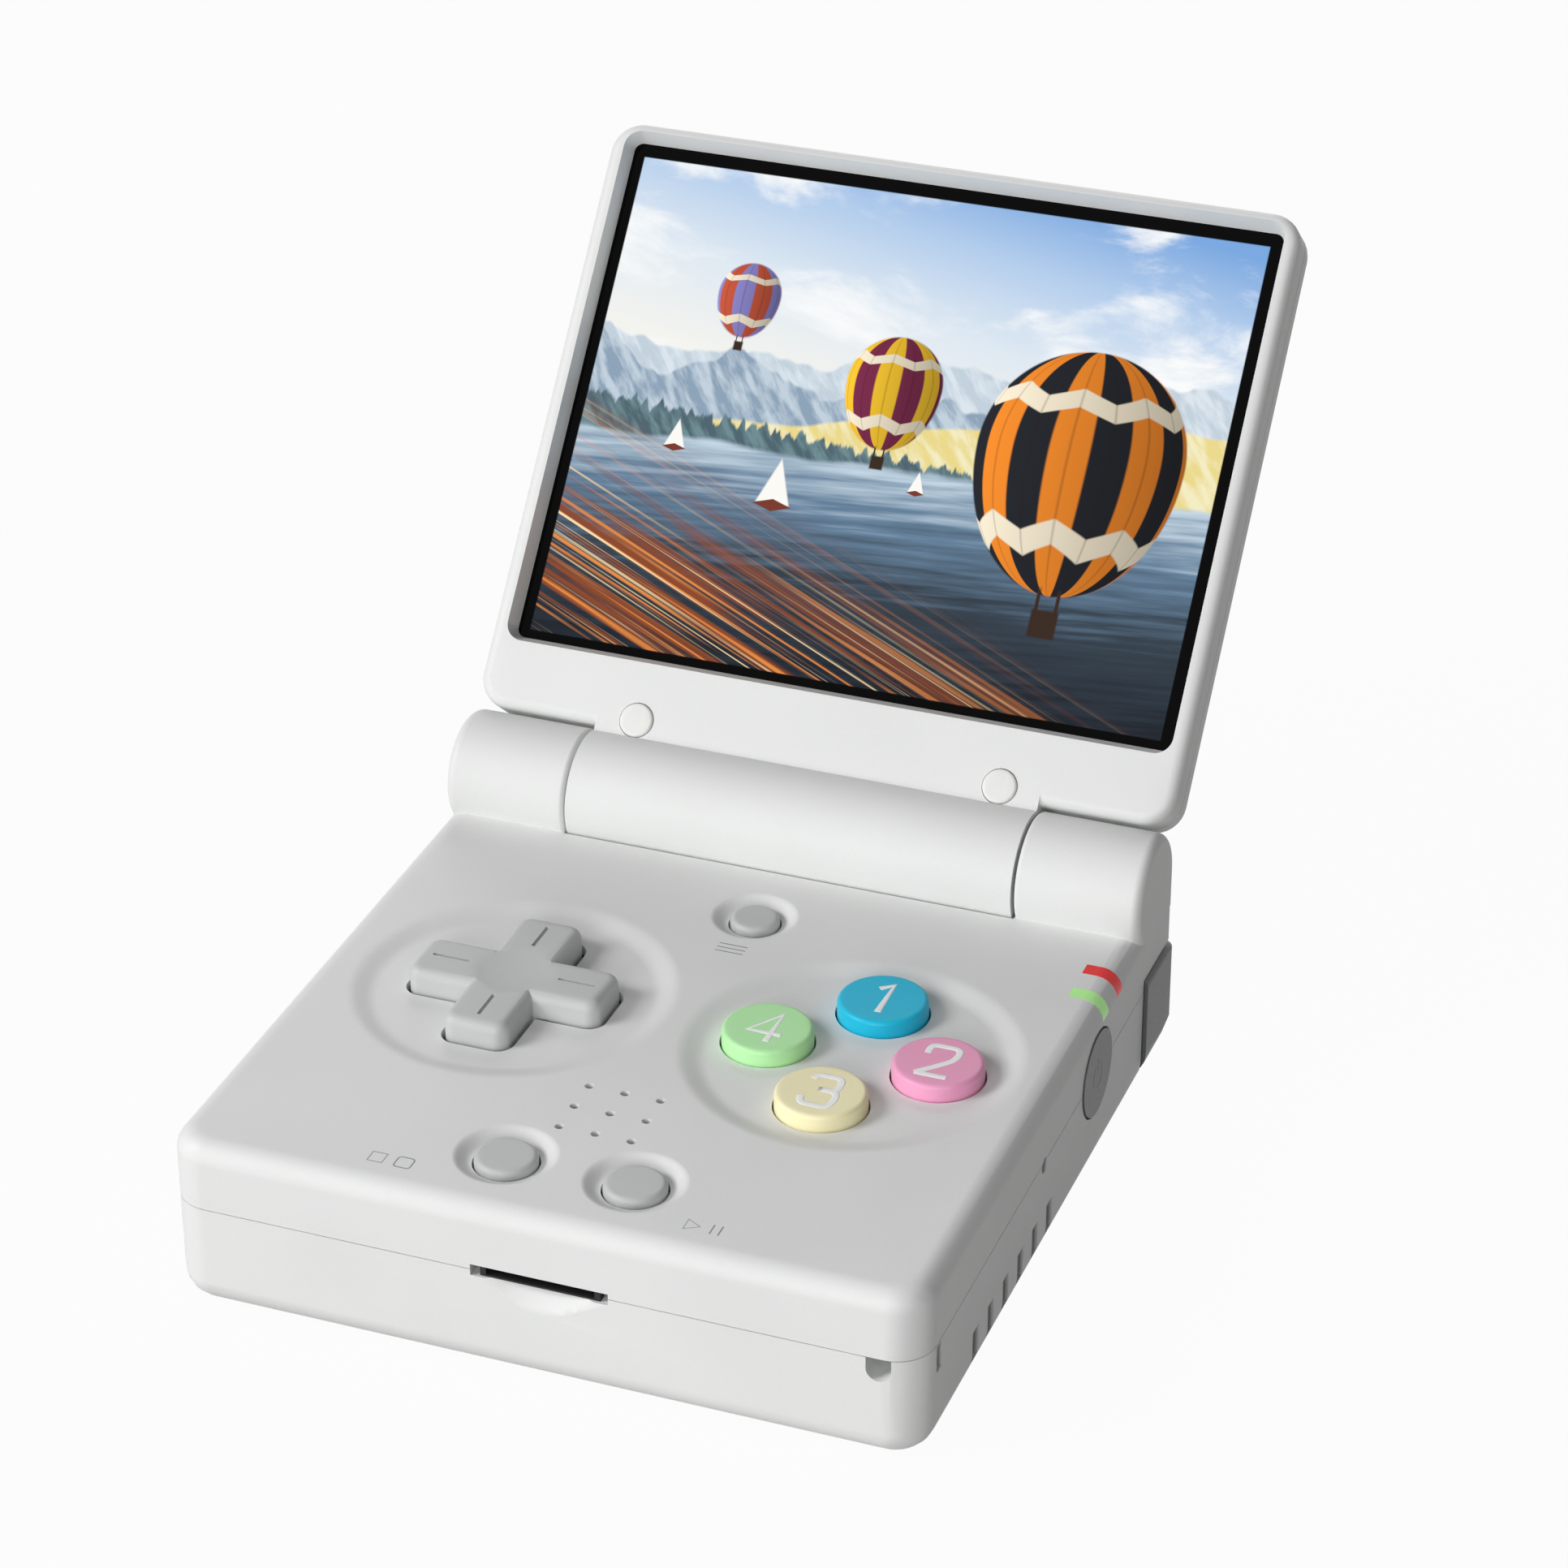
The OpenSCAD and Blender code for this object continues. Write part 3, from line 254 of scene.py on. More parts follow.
@dataclass(frozen=True)
class Silicone:
    """Moulded silicone rubber: soft sheen, dusty fine pores.

    Args:
        name: Name of the material.
        colour: Base colour as sRGB hex.
        roughness: Roughness of the moulded skin.
        pore_mm: Width of one pore.
        pore_deep_mm: Depth of the pores.
        dust_mm: Width of the dusty clouds in the colour.
    """

    name: str
    colour: str
    roughness: float = 0.6
    pore_mm: float = 0.35
    pore_deep_mm: float = 0.004
    dust_mm: float = 2.5

    def build(self) -> bpy.types.Material:
        """Build the silicone: dull and soft, with faint dusty clouds and fine pores.

        Returns:
            The material.
        """
        material, tree = new_material(self.name)
        place = node(tree, "ShaderNodeTexCoord").outputs["Object"]
        pores = node(tree, "ShaderNodeTexVoronoi", None, {
            "Vector": place, "Scale": 1 / (self.pore_mm * MM)})
        cloud = node(tree, "ShaderNodeTexNoise", None, {
            "Vector": place, "Scale": 1 / (self.dust_mm * MM), "Detail": 2.0})
        tint = node(tree, "ShaderNodeMix", STAIN, {
            "Factor": 0.05, 6: linear(self.colour), 7: cloud.outputs["Color"]})
        dust = node(tree, "ShaderNodeMapRange", None, {
            "Value": cloud.outputs["Fac"], **NOISE_SPAN,
            "To Min": self.roughness - 0.06, "To Max": self.roughness + 0.06})
        bump = node(tree, "ShaderNodeBump", None, {
            "Strength": 0.35, "Distance": self.pore_deep_mm * MM,
            "Height": pores.outputs["Distance"]})
        skin = node(tree, "ShaderNodeBsdfPrincipled", None, {
            "Base Color": tint.outputs[2], "Roughness": dust, "Normal": bump,
            "IOR": 1.41, "Specular IOR Level": 0.35, "Sheen Weight": 0.05})
        node(tree, "ShaderNodeOutputMaterial", None, {"Surface": skin})
        return material


@dataclass(frozen=True)
class TintedWindow:
    """Tinted polycarbonate light guide: clear gloss skin over an evenly lit body.

    Args:
        name: Name of the material.
        colour: Body colour as sRGB hex.
        glow: Strength of the light from the lamp behind it.
        haze_mm: Width of the faint clouds and ripples.
        haze_deep_mm: Depth of the ripples.
    """

    name: str
    colour: str
    glow: float = 0.25
    haze_mm: float = 1.2
    haze_deep_mm: float = 0.006

    def build(self) -> bpy.types.Material:
        """Build the tinted window: clear colour lit from behind, faint haze, little gloss.

        Returns:
            The material.
        """
        material, tree = new_material(self.name)
        place = node(tree, "ShaderNodeTexCoord").outputs["Object"]
        haze = node(tree, "ShaderNodeTexNoise", None, {
            "Vector": place, "Scale": 1 / (self.haze_mm * MM), "Detail": 2.0})
        tint = node(tree, "ShaderNodeMix", STAIN, {
            "Factor": 0.12, 6: linear(self.colour), 7: haze.outputs["Color"]})
        ripple = node(tree, "ShaderNodeBump", None, {
            "Strength": 0.2, "Distance": self.haze_deep_mm * MM,
            "Height": haze.outputs["Fac"]})
        smooth = node(tree, "ShaderNodeMapRange", None, {
            "Value": haze.outputs["Fac"], **NOISE_SPAN,
            "To Min": 0.2, "To Max": 0.28})
        skin = node(tree, "ShaderNodeBsdfPrincipled", None, {
            "Base Color": tint.outputs[2], "Roughness": smooth, "Normal": ripple, "IOR": 1.58,
            "Specular IOR Level": 0.12,
            "Emission Color": tint.outputs[2], "Emission Strength": self.glow})
        node(tree, "ShaderNodeOutputMaterial", None, {"Surface": skin})
        return material


@dataclass(frozen=True)
class BareMetal:
    """Turned, stamped or plated metal with fine drawn lines.

    Args:
        name: Name of the material.
        colour: Base colour as sRGB hex.
        roughness: Middle roughness.
        line_mm: Distance between the drawn lines.
        line_deep_mm: Depth of the lines.
        line_long: How many times as long as wide a line is.
        stain_mm: Width of the stains.
    """

    name: str
    colour: str
    roughness: float = 0.32
    line_mm: float = 0.12
    line_deep_mm: float = 0.003
    line_long: float = 25.0
    stain_mm: float = 3.0

    def build(self) -> bpy.types.Material:
        """Build the metal: drawn lines along X, slight heat and handling stains.

        Returns:
            The material.
        """
        material, tree = new_material(self.name)
        place = node(tree, "ShaderNodeTexCoord").outputs["Object"]
        along = node(tree, "ShaderNodeMapping", None, {
            "Vector": place, "Scale": (1 / self.line_long, 1.0, 1.0)})
        lines = node(tree, "ShaderNodeTexNoise", None, {
            "Vector": along, "Scale": 1 / (self.line_mm * MM), "Detail": 3.0})
        stain = node(tree, "ShaderNodeTexNoise", None, {
            "Vector": place, "Scale": 1 / (self.stain_mm * MM)})
        tint = node(tree, "ShaderNodeMix", STAIN, {
            "Factor": 0.18, 6: linear(self.colour), 7: stain.outputs["Color"]})
        dull = node(tree, "ShaderNodeMapRange", None, {
            "Value": lines.outputs["Fac"], **NOISE_SPAN,
            "To Min": self.roughness - 0.08, "To Max": self.roughness + 0.1})
        bump = node(tree, "ShaderNodeBump", None, {
            "Strength": 0.3, "Distance": self.line_deep_mm * MM,
            "Height": lines.outputs["Fac"]})
        skin = node(tree, "ShaderNodeBsdfPrincipled", None, {
            "Base Color": tint.outputs[2], "Roughness": dull, "Normal": bump, "Metallic": 1.0})
        node(tree, "ShaderNodeOutputMaterial", None, {"Surface": skin})
        return material


@dataclass(frozen=True)
class SolderMask:
    """Green solder mask over glass-fibre laminate: weave under a glossy lacquer.

    Args:
        name: Name of the material.
        colour: Base colour as sRGB hex.
        weave_mm: Width of one bundle of fibres.
        weave_deep_mm: Depth of the weave.
    """

    name: str
    colour: str
    weave_mm: float = 2.4
    weave_deep_mm: float = 0.01

    def build(self) -> bpy.types.Material:
        """Build the solder mask: glossy green, with the weave just showing.

        Returns:
            The material.
        """
        material, tree = new_material(self.name)
        place = node(tree, "ShaderNodeTexCoord").outputs["Object"]
        weave = node(tree, "ShaderNodeTexBrick", None, {
            "Vector": place, "Scale": 1 / (self.weave_mm * MM), "Color1": linear("#FFFFFF"),
            "Color2": linear("#D5DDD8"), "Mortar": linear("#9DB3A6"), "Mortar Size": 0.02})
        tint = node(tree, "ShaderNodeMix", STAIN, {
            "Factor": 0.6, 6: linear(self.colour), 7: weave.outputs["Color"]})
        bump = node(tree, "ShaderNodeBump", None, {
            "Strength": 0.3, "Distance": self.weave_deep_mm * MM,
            "Height": weave.outputs["Fac"]})
        skin = node(tree, "ShaderNodeBsdfPrincipled", None, {
            "Base Color": tint.outputs[2], "Roughness": 0.28, "Normal": bump, "IOR": 1.55})
        node(tree, "ShaderNodeOutputMaterial", None, {"Surface": skin})
        return material


@dataclass(frozen=True)
class PaintFill:
    """Enamel paint wiped into an engraved stroke, also used for grey strokes that are painted shade
    of engraved grooves: slightly uneven, satin.

    Args:
        name: Name of the material.
        colour: Paint colour as sRGB hex.
        roughness: Roughness of the dry paint.
        brush_mm: Width of the uneven marks.
        brush_deep_mm: Depth of the marks.
    """

    name: str
    colour: str
    roughness: float = 0.38
    brush_mm: float = 0.6
    brush_deep_mm: float = 0.01

    def build(self) -> bpy.types.Material:
        """Build the paint fill: even satin colour with slight uneven marks.

        Returns:
            The material.
        """
        material, tree = new_material(self.name)
        place = node(tree, "ShaderNodeTexCoord").outputs["Object"]
        brushed = node(tree, "ShaderNodeTexNoise", None, {
            "Vector": place, "Scale": 1 / (self.brush_mm * MM), "Detail": 3.0})
        tint = node(tree, "ShaderNodeMix", STAIN, {
            "Factor": 0.1, 6: linear(self.colour), 7: brushed.outputs["Color"]})
        bump = node(tree, "ShaderNodeBump", None, {
            "Strength": 0.4, "Distance": self.brush_deep_mm * MM,
            "Height": brushed.outputs["Fac"]})
        skin = node(tree, "ShaderNodeBsdfPrincipled", None, {
            "Base Color": tint.outputs[2], "Roughness": self.roughness, "Normal": bump, "IOR": 1.5})
        node(tree, "ShaderNodeOutputMaterial", None, {"Surface": skin})
        return material


# --------------------------------------------------------------------------- the lit picture


@dataclass(frozen=True)
class Balloon:
    """One striped balloon in the picture.

    Args:
        at: Centre across and up the lit area, from its middle.
        r: Radius of the envelope.
        light: Colour of the light panels.
        dark: Colour of the dark panels.
        panels: Number of panels seen across the envelope.
    """

    at: Point
    r: float
    light: str
    dark: str
    panels: float


@dataclass
class Picture:
    """A lake at dusk with balloons and sailing boats, painted from the back to the front.

    Args:
        tree: Node tree of the glass.
        x: Distance across from the middle of the lit area, in millimetres.
        y: Distance up from that middle.
        high: Height of the lit area.
        colour: The picture so far.
        basket: Colour of the baskets and their ropes.
        basket_drop: Distance of a basket below its balloon's centre, in radii.
        basket_half: Half the width of a basket.
        rope_drop: Distance of the ropes' middle below that centre.
        rope_out: Distance of each rope from the middle.
    """

    tree: bpy.types.NodeTree
    x: Value
    y: Value
    high: float
    colour: Value = BLACK
    basket: str = "#3A2A20"
    basket_drop: float = 1.62
    basket_half: float = 0.12
    rope_drop: float = 1.42
    rope_out: float = 0.095

    def lay(self, share: Value, colour: Value) -> None:
        """Lay a colour over the picture.

        Args:
            share: Share of the colour, from 0 to 1.
            colour: The colour.
        """
        self.colour = coated(self.tree, self.colour, (share, colour))

    def stamp(self, measure: Value, whole: float, none: float, colour: str) -> None:
        """Lay a colour where a measure is small, with a soft edge.

        Args:
            measure: The measure.
            whole: Measure up to which the colour is whole.
            none: Measure from which nothing of it is left.
            colour: The colour as sRGB hex.
        """
        self.lay(node(self.tree, "ShaderNodeMapRange", None, {
            "Value": measure, "From Min": whole, "From Max": none, **FALLING}), linear(colour))

    def below_line(self, line: Value, soft: float = 0.25) -> bpy.types.Node:
        """Give 1 below a line and 0 above it.

        Args:
            line: Height of the line.
            soft: Width of the soft edge.

        Returns:
            The mask.
        """
        depth = node(self.tree, "ShaderNodeMath", {"operation": "SUBTRACT"}, {0: line, 1: self.y})
        return node(self.tree, "ShaderNodeMapRange", EASED, {
            "Value": depth, "From Min": -soft, "From Max": soft})

    def ridge(self, base: float, high: float, wide: float, seed: float,
              slope: float) -> bpy.types.Node:
        """Height of a row of hills above the middle of the picture.

        Args:
            base: Mean height of the row.
            high: Height from valley to peak.
            wide: Width of one hill.
            seed: Offset into the noise.
            slope: Rise of the row for each millimetre across.

        Returns:
            The height of the row.
        """
        at = node(self.tree, "ShaderNodeMath", {"operation": "MULTIPLY_ADD"}, {
            0: self.x, 1: 1 / wide, 2: seed})
        noise = node(self.tree, "ShaderNodeTexNoise", {"noise_dimensions": "1D"}, {
            "W": at, "Scale": 1.0, "Detail": 3.0, "Roughness": 0.45})
        lift = node(self.tree, "ShaderNodeMath", {"operation": "MULTIPLY_ADD"}, {
            0: noise, 1: high, 2: base - high / 2})
        return node(self.tree, "ShaderNodeMath", {"operation": "MULTIPLY_ADD"}, {
            0: self.x, 1: slope, 2: lift})

    def streaks(self, turn_deg: float, long_mm: float, thin_mm: float,
                seed: float) -> bpy.types.NodeSocket:
        """Drawn-out noise, for worn slopes, ripples and trails of light.

        Args:
            turn_deg: Direction of the streaks, up from X.
            long_mm: Length of a streak.
            thin_mm: Width of a streak.
            seed: Offset into the noise.

        Returns:
            Noise from 0 to 1.
        """
        point = node(self.tree, "ShaderNodeCombineXYZ", None, {0: self.x, 1: self.y, 2: seed})
        turned = node(self.tree, "ShaderNodeMapping", None, {
            "Vector": point, "Rotation": (0.0, 0.0, math.radians(-turn_deg))})
        scaled = node(self.tree, "ShaderNodeMapping", None, {
            "Vector": turned, "Scale": (1 / long_mm, 1 / thin_mm, 1.0)})
        return node(self.tree, "ShaderNodeTexNoise", None, {
            "Vector": scaled, "Scale": 1.0, "Detail": 3.0, "Roughness": 0.55}).outputs["Fac"]

    def sky(self) -> None:
        """Paint a blue sky that pales towards the hills, with drawn-out clouds."""
        # The sky is palest at its lower left.
        aside = node(self.tree, "ShaderNodeMath", {"operation": "MULTIPLY_ADD"}, {
            0: self.x, 1: 0.16, 2: self.y})
        rise = node(self.tree, "ShaderNodeMapRange", None, {
            "Value": aside, "From Min": 3.0, "From Max": self.high / 2 + 4.0})
        sky = node(self.tree, "ShaderNodeValToRGB", None, {"Fac": rise})
        ramp_stops(sky, [(0.0, "#F3F3EE"), (0.35, "#DFE9F2"), (0.7, "#B3CDEC"), (1.0, "#7AA8E0")])
        self.colour = sky.outputs[0]
        # A cloud is about 22 mm long and 9 mm high and leans a little.
        puffs = node(self.tree, "ShaderNodeCombineXYZ", None, {0: self.x, 1: self.y, 2: 3.7})
        drawn = node(self.tree, "ShaderNodeMapping", None, {
            "Vector": puffs, "Rotation": (0.0, 0.0, 0.25), "Scale": (0.045, 0.11, 1.0)})
        cloud = node(self.tree, "ShaderNodeTexNoise", None, {
            "Vector": drawn, "Scale": 1.0, "Detail": 7.0, "Roughness": 0.58, "Distortion": 0.35})
        cover = node(self.tree, "ShaderNodeMapRange", EASED, {
            "Value": cloud.outputs["Fac"], "From Min": 0.48, "From Max": 0.66})
        self.lay(cover, linear("#FAFBFB"))

    def land(self) -> None:
        """Paint two rows of mountains, a sand bank and a row of pines."""
        rows = (
            (self.ridge(8.2, 9.0, 13.0, 4.3, 0.05), "#C3D1DD", "#DCE6EE"),
            (self.ridge(4.6, 8.5, 9.0, 17.6, -0.03), "#8DA3B8", "#C2D1DD"),
            (self.ridge(1.6, 3.0, 16.0, 31.0, 0.13), "#EBD98C", "#F4ECC2"),
            (self.ridge(-1.9, 3.4, 1.1, 52.0, -0.06), "#4E6670", "#6F8C93"),
        )
        for seed, (line, colour, haze) in enumerate(rows, 1):
            worn = node(self.tree, "ShaderNodeMapRange", None, {
                "Value": self.streaks(-52.0, 5.0, 1.3, seed), "From Min": 0.42, "From Max": 0.6})
            self.lay(self.below_line(line), coated(self.tree, linear(colour), (worn, linear(haze))))

    def lake(self) -> None:
        """Paint the lake, darker and rippled towards the viewer."""
        shore = self.ridge(-3.2, 2.4, 18.0, 8.8, 0.02)
        deep = node(self.tree, "ShaderNodeMapRange", None, {
            "Value": self.y, "From Min": -self.high / 2, "From Max": -2.0})
        ripple = node(self.tree, "ShaderNodeMath", {"operation": "MULTIPLY_ADD"}, {
            0: self.streaks(4.0, 16.0, 0.9, 2.0), 1: 0.6, 2: -0.3})
        depth = node(self.tree, "ShaderNodeMath", {"operation": "ADD"}, {0: deep, 1: ripple})
        lake = node(self.tree, "ShaderNodeValToRGB", None, {"Fac": depth})
        ramp_stops(lake, [(0.0, "#20262F"), (0.4, "#37434F"), (0.72, "#66829C"), (1.0, "#C3D6E4")])
        self.lay(self.below_line(shore, 0.4), lake.outputs[0])

    def evening_light(self) -> None:
        """Lay thin trails of warm light over the near water, in the lower left corner."""
        # The light lies below a line that falls to the right, and fades over a wide edge.
        edge = node(self.tree, "ShaderNodeMath", {"operation": "MULTIPLY_ADD"}, {
            0: self.x, 1: -0.42, 2: -21.0})
        near = self.below_line(edge, 9.0)
        for long_mm, thin_mm, seed, first, colour in (
                (60.0, 1.5, 9.0, 0.47, "#8E4A2A"), (70.0, 0.7, 21.0, 0.52, "#E98F47"),
                (80.0, 0.45, 33.0, 0.57, "#FFE2B0")):
            shown = node(self.tree, "ShaderNodeMapRange", EASED, {
                "Value": self.streaks(-22.0, long_mm, thin_mm, seed),
                "From Min": first, "From Max": first + 0.13})
            share = node(self.tree, "ShaderNodeMath", {"operation": "MULTIPLY"}, {0: shown, 1: near})
            self.lay(share, linear(colour))

    def from_middle(self, at: Point, size: float) -> tuple[bpy.types.Node, bpy.types.Node]:
        """Distance from the middle of a motif, in units of its size.

        Args:
            at: Middle of the motif.
            size: Its size.

        Returns:
            The distances across and up.
        """
        across, up = (
            node(self.tree, "ShaderNodeMath", {"operation": "MULTIPLY_ADD"}, {
                0: way, 1: 1 / size, 2: -middle / size})
            for way, middle in zip((self.x, self.y), at))
        return across, up

    def sail(self, at: Point, high: float) -> None:
        """Lay one small sailing boat over the picture.

        Args:
            at: Foot of its mast.
            high: Height of the sail.
        """
        tree = self.tree
        dx, dy = self.from_middle(at, high)
        side = node(tree, "ShaderNodeMath", {"operation": "ABSOLUTE"}, {0: dx})
        lean = node(tree, "ShaderNodeMath", {"operation": "MULTIPLY_ADD"}, {0: dy, 1: 0.38, 2: side})
        foot = node(tree, "ShaderNodeMath", {"operation": "MULTIPLY_ADD"}, {0: dy, 1: -1.0, 2: 0.41})
        cloth = node(tree, "ShaderNodeMath", {"operation": "MAXIMUM"}, {0: lean, 1: foot})
        self.stamp(cloth, 0.36, 0.4, "#FBFAF4")
        drop = node(tree, "ShaderNodeMath", {"operation": "ABSOLUTE"}, {0: dy})
        hull = node(tree, "ShaderNodeMath", {"operation": "MULTIPLY_ADD"}, {0: drop, 1: 3.2, 2: side})
        self.stamp(hull, 0.4, 0.46, "#7A3B2C")

    def balloon(self, b: Balloon) -> None:
        """Lay one striped balloon with its basket over the picture.

        Args:
            b: The balloon.
        """
        tree = self.tree
        dx, dy = self.from_middle(b.at, b.r)
        # Below its middle the envelope is drawn out by a third, down to its mouth.
        low = node(tree, "ShaderNodeMath", {"operation": "MINIMUM"}, {0: dy, 1: 0.0})
        up = node(tree, "ShaderNodeMath", {"operation": "MULTIPLY_ADD"}, {0: low, 1: -0.26, 2: dy})
        flat = node(tree, "ShaderNodeCombineXYZ", None, {0: dx, 1: up, 2: 0.0})
        far = node(tree, "ShaderNodeVectorMath", {"operation": "LENGTH"}, {0: flat}).outputs["Value"]
        soft = 0.12 / b.r
        cover = node(tree, "ShaderNodeMapRange", EASED, {
            "Value": far, "From Min": 1 - soft, "From Max": 1 + soft, **FALLING})
        cloth = self.cloth(dx, up, b)
        lit = node(tree, "ShaderNodeMath", {"operation": "MULTIPLY_ADD"}, {0: dx, 1: -0.5, 2: 0.72})
        tone = node(tree, "ShaderNodeMix", STAIN, {"Factor": 0.75, 6: cloth, 7: lit})
        self.lay(cover, tone.outputs[2])
        # The basket hangs under the mouth on two ropes.
        bx = node(tree, "ShaderNodeMath", {"operation": "ABSOLUTE"}, {0: dx})
        off = node(tree, "ShaderNodeMath", {"operation": "SUBTRACT"}, {0: bx, 1: self.rope_out})
        rope_x = node(tree, "ShaderNodeMath", {"operation": "ABSOLUTE"}, {0: off})
        height = node(tree, "ShaderNodeMath", {"operation": "ADD"}, {0: dy, 1: self.rope_drop})
        rope_y = node(tree, "ShaderNodeMath", {"operation": "ABSOLUTE"}, {0: height})
        scaled = node(tree, "ShaderNodeMath", {"operation": "MULTIPLY"}, {0: rope_y, 1: 0.14})
        ropes = node(tree, "ShaderNodeMath", {"operation": "MAXIMUM"}, {0: rope_x, 1: scaled})
        self.stamp(ropes, 0.012, 0.022, self.basket)
        drop = node(tree, "ShaderNodeMath", {"operation": "ADD"}, {0: dy, 1: self.basket_drop})
        by = node(tree, "ShaderNodeMath", {"operation": "ABSOLUTE"}, {0: drop})
        wide = node(tree, "ShaderNodeMath", {"operation": "MAXIMUM"}, {0: bx, 1: by})
        self.stamp(wide, self.basket_half, 0.13 + soft, self.basket)

    def cloth(self, dx: Value, up: Value, b: Balloon) -> Value:
        """Colour the envelope of a balloon: panels, pale belts and dark seams.

        Args:
            dx: Distance across from its centre, in radii.
            up: Distance up from its centre on the round envelope.
            b: The balloon.

        Returns:
            The colour.
        """
        tree = self.tree
        # Half the width of the envelope at this height, kept above zero at its rim.
        squared = node(tree, "ShaderNodeMath", {"operation": "MULTIPLY"}, {0: up, 1: up})
        room = node(tree, "ShaderNodeMath", {"operation": "SUBTRACT"}, {0: 1.02, 1: squared})
        half = node(tree, "ShaderNodeMath", {"operation": "SQRT"}, {0: room})
        # The panels are even in angle round the envelope, so they narrow towards its sides.
        share = node(tree, "ShaderNodeMath", {"operation": "DIVIDE"}, {0: dx, 1: half})
        angle = node(tree, "ShaderNodeMath", {"operation": "ARCSINE"}, {0: share})
        turn = node(tree, "ShaderNodeMath", {"operation": "MULTIPLY_ADD"}, {
            0: angle, 1: b.panels / math.pi, 2: 0.3})
        saw = node(tree, "ShaderNodeMath", {"operation": "PINGPONG"}, {0: turn, 1: 1.0})
        stripe = node(tree, "ShaderNodeMapRange", EASED, {
            "Value": saw, "From Min": 0.46, "From Max": 0.54})
        # The pale belts rise and fall a little with each panel.
        zigzag = node(tree, "ShaderNodeMath", {"operation": "MULTIPLY_ADD"}, {0: saw, 1: 0.11, 2: up})
        bands = node(tree, "ShaderNodeMath", {"operation": "PINGPONG"}, {0: zigzag, 1: 0.55})
        belt = node(tree, "ShaderNodeMapRange", EASED, {
            "Value": bands, "From Min": 0.45, "From Max": 0.47})
        seam = node(tree, "ShaderNodeMath", {"operation": "PINGPONG"}, {0: turn, 1: 0.5})
        sewn = node(tree, "ShaderNodeMapRange", None, {
            "Value": seam, "From Min": 0.0, "From Max": 0.06, "To Min": 0.35, "To Max": 0.0})
        return coated(tree, linear(b.light), (stripe, linear(b.dark)), (belt, linear("#F3E7CE")),
                      (sewn, linear("#2B1C16")))


